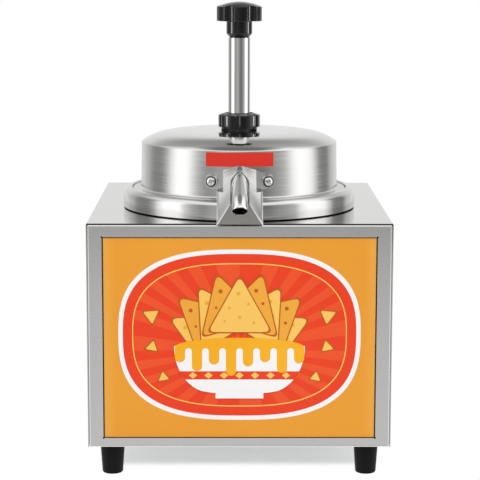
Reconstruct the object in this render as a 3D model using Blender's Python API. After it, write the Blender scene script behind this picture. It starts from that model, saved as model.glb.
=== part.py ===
# Countertop cheese warmer with a hand pump, in metres, +Z up.
# The sign and the spout face -Y. The origin lies on the surface that the feet stand on,
# below the middle of the cabinet.

import math

import bmesh
import bpy
from mathutils import Matrix, Vector

# Fits and counts shared by all pieces
SEAT = 0.0003
SLIDE = 0.0002
OVERRUN = 0.004
WELD = 0.000001
SMOOTH_ANGLE = math.radians(35)
WIDE_STEPS = 40
ROUND_STEPS = 24
SMALL_STEPS = 16
TINY_STEPS = 10

# Cabinet
CABINET_WIDTH = 0.254
CABINET_DEPTH = 0.270
BOX_HEIGHT = 0.1896
FOOT_HEIGHT = 0.0274
SHEET = 0.0010
BEND_RADIUS = 0.0016
FLANGE = 0.010
RELIEF_RADIUS = 0.0009
WINDOW_SIDE = 0.0129
WINDOW_TOP = 0.01135
WINDOW_BOTTOM = 0.0075
SIGN_THICKNESS = 0.0020
SIGN_LAP = 0.0040
CHANNEL_LEG = 0.0085
PAN_FLANGE = 0.012
PAN_SLOT_LENGTH = 0.060
PAN_SLOT_WIDTH = 0.004
PAN_SLOT_PITCH = 0.016
PAN_SLOT_COUNT = 5

# Feet
FOOT_TOP_RADIUS = 0.0104
FOOT_BASE_RADIUS = 0.0088
FOOT_ROUND = 0.0012
FOOT_NECK_RADIUS = 0.0040
FOOT_BARB_RADIUS = 0.0052
FOOT_BARB_HEIGHT = 0.0045
FOOT_INSET_X = 0.0192
FOOT_INSET_Y = 0.0200

# Pot, well and collar
POT_RADIUS = 0.0835
POT_RIM_WIDTH = 0.0099
POT_SHEET = 0.0008
POT_DEPTH = 0.125
POT_ROUND = 0.012
WATER_GAP = 0.0035
WATER_DEPTH = 0.010
WELL_SHEET = 0.0008
WELL_RIM_WIDTH = 0.0080
WELL_ROUND = 0.014
CUTOUT_PLAY = 0.0015
COLLAR_PLAY = 0.0008
COLLAR_WIDTH = 0.0077
COLLAR_RISE = 0.0179
COLLAR_SHEET = 0.0008
COLLAR_SHOULDER = 0.0064
COLLAR_BEND = 0.0010
COLLAR_TO_FRONT = 0.01065
GASKET_THICKNESS = 0.0009
GASKET_WIDTH = 0.0060
GASKET_INSET = 0.0008

# Lid
LID_SHEET = 0.0010
LID_SINK = 0.0009
LID_FLANGE_WIDTH = 0.0071
LID_FILLET = 0.0022
LID_DRAFT = 0.0007
LID_EDGE_BEVEL = 0.0006
LID_WALL_HEIGHT = 0.0405
LID_RISE = 0.0095
LID_DOME_POWER = 7
LID_HOLE_PLAY = 0.0004
WASHER_THICKNESS = 0.0006

# Plunger, its guide and the lock nut
TUBE_RADIUS = 0.0097
TUBE_WALL = 0.0010
TUBE_STANDOUT = 0.0809
STROKE = 0.060
BUSH_WALL = 0.0012
BUSH_LIP = 0.0014
GUIDE_THREAD_WALL = 0.0020
GUIDE_FLANGE_WIDTH = 0.0085
GUIDE_FLANGE_HEIGHT = 0.0035
GUIDE_SOCKET_DEPTH = 0.010
GUIDE_SOCKET_WALL = 0.0025
NUT_LOBE_WIDTH = 0.0046
NUT_BASE_SET = 0.0026
NUT_BASE_HEIGHT = 0.0016
NUT_HEIGHT = 0.0138
NUT_TOP_FALL = 0.0016
NUT_CHAMFER = 0.0008
NUT_TOP_THICKNESS = 0.0030
NUT_MOUTH_PLAY = 0.0020
NUT_GROOVES = 6
NUT_GROOVE_RADIUS = 0.0024
NUT_GROOVE_SET = 0.0006
NUT_GROOVE_TURN = math.radians(-94)
HUB_RADIUS = 0.0113
HUB_HEIGHT = 0.0139
HUB_CHAMFER = 0.0029
HUB_TIP_SET = 0.0010
HUB_PLUG_LENGTH = 0.012
KNOB_RADIUS = 0.01995
KNOB_HEIGHT = 0.0123
KNOB_DOME = 0.0045
KNOB_ROUND = 0.0009
KNOB_GROOVES = 6
KNOB_GROOVE_RADIUS = 0.0050
KNOB_GROOVE_SET = 0.00165
KNOB_GROOVE_TURN = math.radians(-116)

# Pump
BARREL_BORE = 0.0165
BARREL_WALL = 0.0015
PISTON_PLAY = 0.0004
PISTON_HEIGHT = 0.010
PISTON_SPIGOT = 0.010
SEAL_HEIGHT = 0.0030
SEAL_DEPTH = 0.0025
SPRING_WIRE_RADIUS = 0.0009
SPRING_RADIUS = 0.0135
SPRING_TURNS = 8
SPRING_SPARE = 0.0026
SPRING_TURN_STEPS = 8
SPRING_SIDES = 5
INTAKE_GAP = 0.0030
VALVE_FOOT_HEIGHT = 0.0080
VALVE_FOOT_WALL = 0.0050
VALVE_FOOT_SLOT = 0.0060
VALVE_HEIGHT = 0.0200
VALVE_WALL = 0.0032
VALVE_SOCKET_DEPTH = 0.0080
VALVE_CHAMBER_DEPTH = 0.0060
VALVE_CHAMBER_PLAY = 0.0025
INLET_BALL_RADIUS = 0.0065
INLET_SEAT_RADIUS = 0.0050
OUTLET_BALL_RADIUS = 0.0045
OUTLET_SEAT_RADIUS = 0.0034
OUTLET_BORE_DEPTH = 0.0070
PASSAGE_RADIUS = 0.0028

# Spout tube and its guard
SPOUT_RADIUS = 0.0070
SPOUT_WALL = 0.00075
SPOUT_PLAY = 0.0004
RISER_GAP = 0.0060
RISER_BEND = 0.018
SPOUT_SLOPE = math.radians(26)
MOUTH_SLOPE = math.radians(58)
MOUTH_BEND = 0.022
MOUTH_REACH = 0.0140
MOUTH_RISE = 0.0124
SPOUT_SIDES = 16
BEND_STEPS = 9
GUARD_SHEET = 0.0009
GUARD_HALF_WIDTH = 0.0192
GUARD_PLAY = 0.0005
GUARD_REACH = 0.0105
GUARD_FOOT = 0.0006
GUARD_FRONT_RISE = 0.0152
GUARD_SHOULDER_RISE = 0.0400
GUARD_CREST_STEPS = 4
GUARD_FOLD = 0.0034
GUARD_FOLD_SHARE = 0.8
GUARD_FOLD_STEPS = 3
GUARD_LENGTH_STEPS = 6
GUARD_SLOT_PLAY = 0.0009
GUARD_SLOT_SET = 0.0078
GUARD_CLEARANCE = 0.0008
PLATE_INSET = 0.0018
EAR_RADIUS = 0.0064
EAR_OFFSET = 0.0235
EAR_RISE = 0.0314
EAR_ROOT_OFFSET = 0.0138
EAR_ROOT_RISE = 0.0100
SCREW_HEAD_RADIUS = 0.0047
SCREW_HEAD_HEIGHT = 0.0028
SCREW_HEAD_ROUND = 0.0012
SCREW_RADIUS = 0.0020
SCREW_LENGTH = 0.0085
SCREW_PLAY = 0.0003

# Heater and insulation
JACKET_THICKNESS = 0.0080
JACKET_DROP = 0.0060
HEATER_ROD_RADIUS = 0.0040
HEATER_RADIUS = 0.055
HEATER_SIDES = 8
CLAMP_MARGIN = 0.008
CLAMP_THICKNESS = 0.0015
CLAMP_BOSS_RADIUS = 0.0060

# Lamp behind the sign
LAMP_RADIUS = 0.0080
LAMP_INSET = 0.037
LAMP_SETBACK = 0.026
LAMP_RISE = 0.030
HOLDER_WIDTH = 0.009
HOLDER_MARGIN = 0.0030
HOLDER_SOCKET = 0.0040
TRAY_WALL_HEIGHT = 0.034
TRAY_MARGIN = 0.006

# Controls on the rear panel
CONTROL_RISE = 0.098
DIAL_INSET = 0.072
SWITCH_INSET = 0.067
PILOT_INSET = 0.107
GLAND_INSET = 0.039
GLAND_RISE = 0.022
THERMOSTAT_SIZE = 0.036
THERMOSTAT_DEPTH = 0.0195
BUSHING_RADIUS = 0.0050
SHAFT_RADIUS = 0.0030
SHAFT_LENGTH = 0.0120
DIAL_RADIUS = 0.0210
DIAL_SKIRT = 0.0040
DIAL_HEIGHT = 0.0180
DIAL_GRIP_RADIUS = 0.0150
DIAL_GRIP_HALF_WIDTH = 0.0045
DIAL_STANDOFF = 0.0010
DIAL_BORE_DEPTH = 0.0125
ROCKER_WIDTH = 0.0110
ROCKER_HALF_HEIGHT = 0.0082
ROCKER_CREST = 0.0042
ROCKER_VALLEY = 0.0026
ROCKER_KEEL = 0.0040
ROCKER_KEEL_HALF_HEIGHT = 0.0055
ROCKER_TILT = math.radians(12)
SWITCH_MARGIN = 0.0012
SWITCH_WALL = 0.0015
SWITCH_BEZEL = 0.0022
SWITCH_BEZEL_WIDTH = 0.0018
SWITCH_POCKET = 0.0080
SWITCH_DEPTH = 0.0200
PILOT_RADIUS = 0.0048
PILOT_NECK_RADIUS = 0.0036
PILOT_DOME = 0.0035
PILOT_LENGTH = 0.0140
GLAND_RADIUS = 0.0085
GLAND_NECK_RADIUS = 0.0062
GLAND_BORE_RADIUS = 0.0038
GLAND_REACH = 0.0090
GLAND_NUT_HEIGHT = 0.0050
LOUVRE_COUNT = 4
LOUVRE_WIDTH = 0.070
LOUVRE_HEIGHT = 0.0080
LOUVRE_PITCH = 0.0120
LOUVRE_DEPTH = 0.0042
LOUVRE_RISE = 0.018
TERMINAL_LENGTH = 0.040
TERMINAL_WIDTH = 0.018
TERMINAL_HEIGHT = 0.014
TERMINAL_SETBACK = 0.040
TERMINAL_POLES = 3
TERMINAL_HOLE_RADIUS = 0.0026
TERMINAL_HOLE_DEPTH = 0.0060

# Places that follow from the sizes
FRONT_Y = -CABINET_DEPTH / 2
BACK_Y = CABINET_DEPTH / 2
BASE_Z = FOOT_HEIGHT
TOP_Z = FOOT_HEIGHT + BOX_HEIGHT
INNER_HALF_WIDTH = CABINET_WIDTH / 2 - SHEET - SEAT
INNER_TOP_Z = TOP_Z - SHEET - SEAT

RIM_RADIUS = POT_RADIUS + POT_RIM_WIDTH
COLLAR_MOUTH = RIM_RADIUS + COLLAR_PLAY
COLLAR_RADIUS = COLLAR_MOUTH + COLLAR_WIDTH
WELL_BORE = POT_RADIUS + WATER_GAP
WELL_RADIUS = WELL_BORE + WELL_SHEET
PUMP_Y = FRONT_Y + COLLAR_TO_FRONT + COLLAR_RADIUS

COLLAR_FOOT_Z = TOP_Z + SEAT + GASKET_THICKNESS + SEAT
COLLAR_TOP_Z = TOP_Z + COLLAR_RISE
LID_FLANGE_Z = COLLAR_TOP_Z - LID_SINK
POT_RIM_Z = LID_FLANGE_Z - LID_SHEET - SEAT
LEDGE_Z = POT_RIM_Z - POT_SHEET - SEAT
WELL_RIM_Z = LEDGE_Z - COLLAR_SHEET - SEAT
POT_FLOOR_Z = POT_RIM_Z - POT_DEPTH
WELL_FLOOR_Z = POT_FLOOR_Z - POT_SHEET - WATER_DEPTH
WELL_BASE_Z = WELL_FLOOR_Z - WELL_SHEET

LID_WALL_RADIUS = RIM_RADIUS - LID_FLANGE_WIDTH
LID_EDGE_RADIUS = LID_WALL_RADIUS - LID_DRAFT
LID_EDGE_Z = LID_FLANGE_Z + LID_WALL_HEIGHT
LID_CROWN_Z = LID_EDGE_Z + LID_RISE

TUBE_BORE = TUBE_RADIUS - TUBE_WALL
TUBE_TOP_Z = LID_CROWN_Z + TUBE_STANDOUT
BUSH_BORE = TUBE_RADIUS + SLIDE
BUSH_RADIUS = BUSH_BORE + BUSH_WALL
GUIDE_BORE = BUSH_RADIUS + SEAT
THREAD_RADIUS = GUIDE_BORE + GUIDE_THREAD_WALL
LID_HOLE_RADIUS = THREAD_RADIUS + LID_HOLE_PLAY
NUT_BORE = THREAD_RADIUS + SEAT
NUT_RADIUS = NUT_BORE + NUT_LOBE_WIDTH
NUT_Z = LID_CROWN_Z + SEAT + WASHER_THICKNESS + SEAT
NUT_TOP_Z = NUT_Z + NUT_HEIGHT
BUSH_TOP_Z = NUT_TOP_Z - NUT_TOP_THICKNESS - SEAT
THREAD_TOP_Z = BUSH_TOP_Z - BUSH_LIP - SEAT
GUIDE_TOP_Z = LID_CROWN_Z - LID_SHEET - SEAT
GUIDE_BASE_Z = GUIDE_TOP_Z - GUIDE_FLANGE_HEIGHT

BARREL_RADIUS = BARREL_BORE + BARREL_WALL
SOCKET_RADIUS = BARREL_RADIUS + SEAT
VALVE_FOOT_Z = POT_FLOOR_Z + INTAKE_GAP
VALVE_Z = VALVE_FOOT_Z + VALVE_FOOT_HEIGHT + SEAT
VALVE_TOP_Z = VALVE_Z + VALVE_HEIGHT
VALVE_SOCKET_Z = VALVE_TOP_Z - VALVE_SOCKET_DEPTH
CHAMBER_Z = VALVE_SOCKET_Z - VALVE_CHAMBER_DEPTH
BARREL_Z = VALVE_SOCKET_Z + SEAT
SPRING_Z = VALVE_SOCKET_Z + SEAT
SPRING_SOLID = SPRING_TURNS * 2 * SPRING_WIRE_RADIUS
PISTON_Z = SPRING_Z + SPRING_SOLID + SPRING_SPARE + STROKE
TUBE_FOOT_Z = PISTON_Z + PISTON_HEIGHT + SEAT

RISER_Y = PUMP_Y - BARREL_RADIUS - RISER_GAP - SPOUT_RADIUS
RISER_Z = VALVE_SOCKET_Z + SEAT
MOUTH_Y = FRONT_Y - MOUTH_REACH
MOUTH_Z = TOP_Z + MOUTH_RISE
EAR_ANGLE = math.asin(EAR_OFFSET / LID_WALL_RADIUS)

JACKET_RADIUS = WELL_RADIUS + SEAT + JACKET_THICKNESS
DIAL_X = CABINET_WIDTH / 2 - DIAL_INSET
GLAND_X = CABINET_WIDTH / 2 - GLAND_INSET
SWITCH_X = SWITCH_INSET - CABINET_WIDTH / 2
PILOT_X = PILOT_INSET - CABINET_WIDTH / 2


# Materials

def make_look(name, colour, roughness, metallic):
    look = bpy.data.materials.new(name)
    look.use_nodes = True
    shader = look.node_tree.nodes["Principled BSDF"]
    shader.inputs["Base Color"].default_value = (*colour, 1)
    shader.inputs["Roughness"].default_value = roughness
    shader.inputs["Metallic"].default_value = metallic
    return look


def make_looks():
    return {
        "brushed": make_look("brushed_steel", (0.62, 0.62, 0.61), 0.35, 1),
        "polished": make_look("polished_steel", (0.75, 0.75, 0.74), 0.12, 1),
        "sign": make_look("sign_print", (0.80, 0.33, 0.04), 0.3, 0),
        "black": make_look("black_plastic", (0.012, 0.012, 0.012), 0.3, 0),
        "rubber": make_look("black_rubber", (0.02, 0.02, 0.02), 0.7, 0),
        "seal": make_look("seal_rubber", (0.55, 0.54, 0.50), 0.6, 0),
        "zinc": make_look("zinc_steel", (0.50, 0.51, 0.52), 0.45, 1),
        "blanket": make_look("glass_blanket", (0.75, 0.72, 0.62), 0.95, 0),
        "heater": make_look("heater_sheath", (0.16, 0.15, 0.14), 0.5, 1),
        "lamp": make_look("lamp_glass", (0.90, 0.90, 0.88), 0.2, 0),
        "pilot": make_look("pilot_lens", (0.55, 0.03, 0.01), 0.15, 0),
        "resin": make_look("white_resin", (0.70, 0.69, 0.65), 0.5, 0),
    }


# Modelling helpers

def add_object(name, mesh_data, look):
    bmesh.ops.recalc_face_normals(mesh_data, faces=mesh_data.faces)
    mesh = bpy.data.meshes.new(name)
    mesh_data.to_mesh(mesh)
    mesh_data.free()
    mesh.shade_smooth()
    mesh.set_sharp_from_angle(angle=SMOOTH_ANGLE)
    thing = bpy.data.objects.new(name, mesh)
    bpy.context.scene.collection.objects.link(thing)
    if look is None:
        thing.hide_render = True
        thing.display_type = "WIRE"
    else:
        mesh.materials.append(look)
    return thing


def arc(centre, radius, start, stop, steps):
    """Points of an arc from start to stop, in degrees, both ends included."""
    points = []
    for step in range(steps + 1):
        angle = math.radians(start + (stop - start) * step / steps)
        points.append((centre[0] + radius * math.cos(angle), centre[1] + radius * math.sin(angle)))
    return points


def circle(centre, radius, steps):
    return arc(centre, radius, 0, 360, steps)[:-1]


def turned(name, profile, look, place, steps):
    """A closed (radius, height) profile turned round the Z axis at place."""
    mesh_data = bmesh.new()
    verts = [mesh_data.verts.new((radius, 0, height)) for radius, height in profile]
    edges = []
    for first, second in zip(verts, verts[1:] + verts[:1]):
        if first.co.x > 0 or second.co.x > 0:
            edges.append(mesh_data.edges.new((first, second)))
    bmesh.ops.spin(mesh_data, geom=verts + edges, cent=(0, 0, 0), axis=(0, 0, 1),
                   angle=2 * math.pi, steps=steps, use_merge=True)
    bmesh.ops.remove_doubles(mesh_data, verts=mesh_data.verts, dist=WELD)
    thing = add_object(name, mesh_data, look)
    thing.location = place
    return thing


def extruded(name, outline, low, high, axis, look):
    """An outline carried along X, Y or Z; its points are the other two coordinates."""
    def place(point, along):
        if axis == "X":
            return (along, point[0], point[1])
        if axis == "Y":
            return (point[0], along, point[1])
        return (point[0], point[1], along)

    mesh_data = bmesh.new()
    near = [mesh_data.verts.new(place(point, low)) for point in outline]
    far = [mesh_data.verts.new(place(point, high)) for point in outline]
    mesh_data.faces.new(near)
    mesh_data.faces.new(far[::-1])
    count = len(outline)
    for index in range(count):
        after = (index + 1) % count
        mesh_data.faces.new((near[index], far[index], far[after], near[after]))
    return add_object(name, mesh_data, look)


def block(name, low, high, look):
    outline = [(low[0], low[1]), (high[0], low[1]), (high[0], high[1]), (low[0], high[1])]
    return extruded(name, outline, low[2], high[2], "Z", look)


def cylinder(name, radius, low, high, centre, axis, look, steps):
    return extruded(name, circle(centre, radius, steps), low, high, axis, look)


def combine(thing, other, operation):
    modifier = thing.modifiers.new(other.name, "BOOLEAN")
    modifier.object = other
    modifier.operation = operation
    modifier.solver = "EXACT"


def cut(thing, *cutters):
    for cutter in cutters:
        combine(thing, cutter, "DIFFERENCE")


def join(thing, *others):
    for other in others:
        combine(thing, other, "UNION")


def rounded_rectangle(low, high, radius, steps):
    corners = [
        ((high[0] - radius, high[1] - radius), 0),
        ((low[0] + radius, high[1] - radius), 90),
        ((low[0] + radius, low[1] + radius), 180),
        ((high[0] - radius, low[1] + radius), 270),
    ]
    points = []
    for centre, start in corners:
        points += arc(centre, radius, start, start + 90, steps)
    return points


def ring_between(mesh_data, first, second):
    count = len(first)
    for index in range(count):
        after = (index + 1) % count
        mesh_data.faces.new((first[index], first[after], second[after], second[index]))


def bend_path(start, heading, turn, radius, steps):
    """Points of a bend in the YZ plane and the heading at its end; left turns are positive."""
    side = math.copysign(1, turn)
    centre_y = start[0] - side * radius * math.sin(heading)
    centre_z = start[1] + side * radius * math.cos(heading)
    points = []
    for step in range(1, steps + 1):
        angle = heading + turn * step / steps
        points.append((centre_y + side * radius * math.sin(angle),
                       centre_z - side * radius * math.cos(angle)))
    return points, heading + turn


# Cabinet

def wrap_outline():
    half = CABINET_WIDTH / 2
    outer = arc((half - BEND_RADIUS, TOP_Z - BEND_RADIUS), BEND_RADIUS, 0, 90, 4)
    outer += arc((BEND_RADIUS - half, TOP_Z - BEND_RADIUS), BEND_RADIUS, 90, 180, 4)
    inner_bend = BEND_RADIUS - SHEET
    inner = arc((BEND_RADIUS - half, TOP_Z - BEND_RADIUS), inner_bend, 180, 90, 4)
    inner += arc((half - BEND_RADIUS, TOP_Z - BEND_RADIUS), inner_bend, 90, 0, 4)
    return ([(half, BASE_Z)] + outer + [(-half, BASE_Z), (SHEET - half, BASE_Z)]
            + inner + [(half - SHEET, BASE_Z)])


def build_wrap(looks):
    wrap = extruded("cabinet_wrap", wrap_outline(), FRONT_Y, BACK_Y, "Y", looks["brushed"])
    opening = cylinder("wrap_opening", WELL_RADIUS + CUTOUT_PLAY, TOP_Z - SHEET - OVERRUN,
                       TOP_Z + OVERRUN, (0, PUMP_Y), "Z", None, WIDE_STEPS)
    cut(wrap, opening)
    for name, side in (("left", -1), ("right", 1)):
        centre = (side * (CABINET_WIDTH / 2 - RELIEF_RADIUS), TOP_Z - RELIEF_RADIUS)
        relief = cylinder(f"wrap_relief_{name}", RELIEF_RADIUS, FRONT_Y - OVERRUN,
                          FRONT_Y + FLANGE / 2, centre, "Y", None, TINY_STEPS)
        cut(wrap, relief)


def tray_with_flange(name, front, back, wall_front, look):
    """A plate across the cabinet with its edge folded away from the wall_front side."""
    tray = block(name, (-INNER_HALF_WIDTH, front, BASE_Z), (INNER_HALF_WIDTH, back, INNER_TOP_Z),
                 look)
    low = (SHEET - INNER_HALF_WIDTH, front + SHEET, BASE_Z + SHEET)
    high = (INNER_HALF_WIDTH - SHEET, back + OVERRUN, INNER_TOP_Z - SHEET)
    if not wall_front:
        low = (low[0], front - OVERRUN, low[2])
        high = (high[0], back - SHEET, high[2])
    cut(tray, block(f"{name}_hollow", low, high, None))
    return tray


def window_bounds():
    half = CABINET_WIDTH / 2 - WINDOW_SIDE
    return (-half, BASE_Z + WINDOW_BOTTOM), (half, TOP_Z - WINDOW_TOP)


def build_front(looks):
    frame = tray_with_flange("front_frame", FRONT_Y, FRONT_Y + FLANGE, True, looks["brushed"])
    low, high = window_bounds()
    window = block("frame_window", (low[0], FRONT_Y - OVERRUN, low[1]),
                   (high[0], FRONT_Y + SHEET + OVERRUN, high[1]), None)
    cut(frame, window)

    sign_y = FRONT_Y + SHEET + SEAT
    sign_back_y = sign_y + SIGN_THICKNESS
    block("sign_panel", (low[0] - SIGN_LAP, sign_y, low[1] - SIGN_LAP),
          (high[0] + SIGN_LAP, sign_back_y, high[1] + SIGN_LAP), looks["sign"])

    wall = INNER_HALF_WIDTH - SHEET - SEAT
    near = sign_back_y + SEAT
    for name, side in (("left", -1), ("right", 1)):
        outline = [
            (side * wall, near),
            (side * (wall - CHANNEL_LEG), near),
            (side * (wall - CHANNEL_LEG), near + SHEET),
            (side * (wall - SHEET), near + SHEET),
            (side * (wall - SHEET), FRONT_Y + FLANGE),
            (side * wall, FRONT_Y + FLANGE),
        ]
        extruded(f"sign_channel_{name}", outline, low[1] - SIGN_LAP, high[1] + SIGN_LAP, "Z",
                 looks["zinc"])


def foot_places():
    x = CABINET_WIDTH / 2 - FOOT_INSET_X
    y = CABINET_DEPTH / 2 - FOOT_INSET_Y
    return {
        "foot_front_left": (-x, -y),
        "foot_front_right": (x, -y),
        "foot_rear_left": (-x, y),
        "foot_rear_right": (x, y),
    }


def build_pan(looks):
    front = FRONT_Y + FLANGE + SEAT
    back = BACK_Y - FLANGE - SEAT
    top = BASE_Z + PAN_FLANGE
    pan = block("bottom_pan", (-INNER_HALF_WIDTH, front, BASE_Z), (INNER_HALF_WIDTH, back, top),
                looks["zinc"])
    hollow = block("pan_hollow", (SHEET - INNER_HALF_WIDTH, front + SHEET, BASE_Z + SHEET),
                   (INNER_HALF_WIDTH - SHEET, back - SHEET, top + OVERRUN), None)
    cut(pan, hollow)
    for name, centre in foot_places().items():
        cut(pan, cylinder(f"{name}_hole", FOOT_NECK_RADIUS + SEAT, BASE_Z - OVERRUN,
                          BASE_Z + SHEET + OVERRUN, centre, "Z", None, TINY_STEPS))
    for index in range(PAN_SLOT_COUNT):
        x = (index - (PAN_SLOT_COUNT - 1) / 2) * PAN_SLOT_PITCH
        low = (x - PAN_SLOT_WIDTH / 2, -PAN_SLOT_LENGTH / 2)
        high = (x + PAN_SLOT_WIDTH / 2, PAN_SLOT_LENGTH / 2)
        outline = rounded_rectangle(low, high, PAN_SLOT_WIDTH / 2 - SEAT, 3)
        cut(pan, extruded(f"pan_slot_{index}", outline, BASE_Z - OVERRUN,
                          BASE_Z + SHEET + OVERRUN, "Z", None))


def build_feet(looks):
    top = BASE_Z - SEAT
    barb = BASE_Z + SHEET + SEAT
    profile = [(0, 0)]
    profile += arc((FOOT_BASE_RADIUS - FOOT_ROUND, FOOT_ROUND), FOOT_ROUND, 270, 360, 3)
    profile += [
        (FOOT_TOP_RADIUS, top),
        (FOOT_NECK_RADIUS, top),
        (FOOT_NECK_RADIUS, barb),
        (FOOT_BARB_RADIUS, barb),
        (FOOT_NECK_RADIUS, barb + FOOT_BARB_HEIGHT),
        (0, barb + FOOT_BARB_HEIGHT),
    ]
    for name, (x, y) in foot_places().items():
        turned(name, profile, looks["rubber"], (x, y, 0), SMALL_STEPS)


# Collar, well and pot

def build_collar(looks):
    inner = COLLAR_RADIUS - GASKET_INSET - GASKET_WIDTH
    outer = COLLAR_RADIUS - GASKET_INSET
    low = TOP_Z + SEAT
    high = low + GASKET_THICKNESS
    turned("collar_gasket", [(inner, low), (outer, low), (outer, high), (inner, high)],
           looks["rubber"], (0, PUMP_Y, 0), WIDE_STEPS)

    shoulder = (COLLAR_RADIUS - COLLAR_SHOULDER, COLLAR_TOP_Z - COLLAR_SHOULDER)
    bend = (COLLAR_MOUTH + COLLAR_BEND, COLLAR_TOP_Z - COLLAR_BEND)
    profile = [(COLLAR_RADIUS, COLLAR_FOOT_Z)]
    profile += arc(shoulder, COLLAR_SHOULDER, 0, 90, 5)
    profile += arc(bend, COLLAR_BEND, 90, 180, 1)
    profile += [
        (COLLAR_MOUTH, LEDGE_Z),
        (WELL_BORE, LEDGE_Z),
        (WELL_BORE, LEDGE_Z - COLLAR_SHEET),
        (COLLAR_MOUTH + COLLAR_SHEET, LEDGE_Z - COLLAR_SHEET),
    ]
    profile += arc(bend, COLLAR_BEND - COLLAR_SHEET, 180, 90, 1)
    profile += arc(shoulder, COLLAR_SHOULDER - COLLAR_SHEET, 90, 0, 3)
    profile += [(COLLAR_RADIUS - COLLAR_SHEET, COLLAR_FOOT_Z)]
    turned("collar_ring", profile, looks["brushed"], (0, PUMP_Y, 0), WIDE_STEPS)


def vessel_profile(rim_radius, rim_z, radius, floor_z, sheet, corner):
    """A drawn vessel with a flat rim; radius and floor_z are those of its inner faces."""
    outer = radius + sheet
    centre = (radius - corner, floor_z + corner)
    profile = [(0, floor_z)]
    profile += arc(centre, corner, 270, 360, 3)
    profile += [
        (radius, rim_z),
        (rim_radius, rim_z),
        (rim_radius, rim_z - sheet),
        (outer, rim_z - sheet),
    ]
    profile += arc(centre, corner + sheet, 360, 270, 3)
    profile += [(0, floor_z - sheet)]
    return profile


def build_vessels(looks):
    well = vessel_profile(WELL_RADIUS + WELL_RIM_WIDTH, WELL_RIM_Z, WELL_BORE, WELL_FLOOR_Z,
                          WELL_SHEET, WELL_ROUND)
    turned("well_bowl", well, looks["brushed"], (0, PUMP_Y, 0), WIDE_STEPS)
    pot = vessel_profile(RIM_RADIUS, POT_RIM_Z, POT_RADIUS - POT_SHEET, POT_FLOOR_Z, POT_SHEET,
                         POT_ROUND)
    turned("food_pot", pot, looks["brushed"], (0, PUMP_Y, 0), WIDE_STEPS)


def build_heating(looks):
    inner = WELL_RADIUS + SEAT
    high = TOP_Z - JACKET_DROP
    low = WELL_BASE_Z + WELL_ROUND
    turned("insulation_jacket",
           [(inner, low), (JACKET_RADIUS, low), (JACKET_RADIUS, high), (inner, high)],
           looks["blanket"], (0, PUMP_Y, 0), WIDE_STEPS)

    rod_z = WELL_BASE_Z - SEAT - HEATER_ROD_RADIUS
    turned("heater_ring", circle((HEATER_RADIUS, rod_z), HEATER_ROD_RADIUS, HEATER_SIDES),
           looks["heater"], (0, PUMP_Y, 0), ROUND_STEPS)

    plate_z = rod_z - HEATER_ROD_RADIUS - SEAT
    radius = HEATER_RADIUS + HEATER_ROD_RADIUS + CLAMP_MARGIN
    clamp = [
        (0, plate_z - CLAMP_THICKNESS),
        (radius, plate_z - CLAMP_THICKNESS),
        (radius, plate_z),
        (CLAMP_BOSS_RADIUS, plate_z),
        (CLAMP_BOSS_RADIUS, WELL_BASE_Z - SEAT),
        (0, WELL_BASE_Z - SEAT),
    ]
    turned("heater_clamp", clamp, looks["zinc"], (0, PUMP_Y, 0), ROUND_STEPS)


# Lid and the spout's guard

def dome_height(radius):
    share = radius / LID_EDGE_RADIUS
    return LID_EDGE_Z + LID_RISE * (1 - share ** LID_DOME_POWER)


def dome_points(drop, edge_radius, radius_shares):
    points = [(edge_radius * share, dome_height(edge_radius * share) - drop)
              for share in radius_shares]
    return points + [(LID_HOLE_RADIUS, dome_height(LID_HOLE_RADIUS) - drop)]


def lid_profile():
    fillet = (LID_WALL_RADIUS + LID_FILLET, LID_FLANGE_Z + LID_FILLET)
    inside = LID_WALL_RADIUS - LID_SHEET
    edge = LID_EDGE_RADIUS - LID_SHEET
    profile = [(RIM_RADIUS, LID_FLANGE_Z - LID_SHEET), (RIM_RADIUS, LID_FLANGE_Z)]
    profile += arc(fillet, LID_FILLET, 270, 180, 3)
    profile += [(LID_EDGE_RADIUS + LID_EDGE_BEVEL / 2, LID_EDGE_Z - LID_EDGE_BEVEL)]
    top_shares = (1.0, 0.96, 0.91, 0.84, 0.74, 0.6)
    under_shares = (1.0, 0.91, 0.78, 0.6)
    profile += dome_points(0, LID_EDGE_RADIUS, top_shares)
    profile += dome_points(LID_SHEET, edge, under_shares)[::-1]
    profile += [(inside, LID_FLANGE_Z - LID_SHEET)]
    return profile


def spout_bend():
    """Place as (y, z) at which the discharge tube begins to bend down to its mouth."""
    return (MOUTH_Y + MOUTH_BEND * (math.sin(MOUTH_SLOPE) - math.sin(SPOUT_SLOPE)),
            MOUTH_Z + MOUTH_BEND * (math.cos(SPOUT_SLOPE) - math.cos(MOUTH_SLOPE)))


def spout_height(y):
    """Height of the discharge tube's centre line on its straight sloping stretch."""
    start_y, start_z = spout_bend()
    return start_z + math.tan(SPOUT_SLOPE) * (y - start_y)


def spout_path():
    """Centre line of the discharge tube as (y, z), from the valve block to the mouth."""
    start_y, start_z = spout_bend()
    top_turn = math.pi / 2 + SPOUT_SLOPE
    bend_y = RISER_Y - RISER_BEND + RISER_BEND * math.cos(top_turn)
    bend_z = spout_height(bend_y)
    top_start = (RISER_Y, bend_z - RISER_BEND * math.sin(top_turn))

    path = [(RISER_Y, RISER_Z), top_start]
    points, heading = bend_path(top_start, math.pi / 2, top_turn, RISER_BEND, BEND_STEPS)
    path += points
    path.append((start_y, start_z))
    turn = MOUTH_SLOPE - SPOUT_SLOPE
    points, heading = bend_path((start_y, start_z), heading, turn, MOUTH_BEND, BEND_STEPS // 2)
    return path + points


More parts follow.
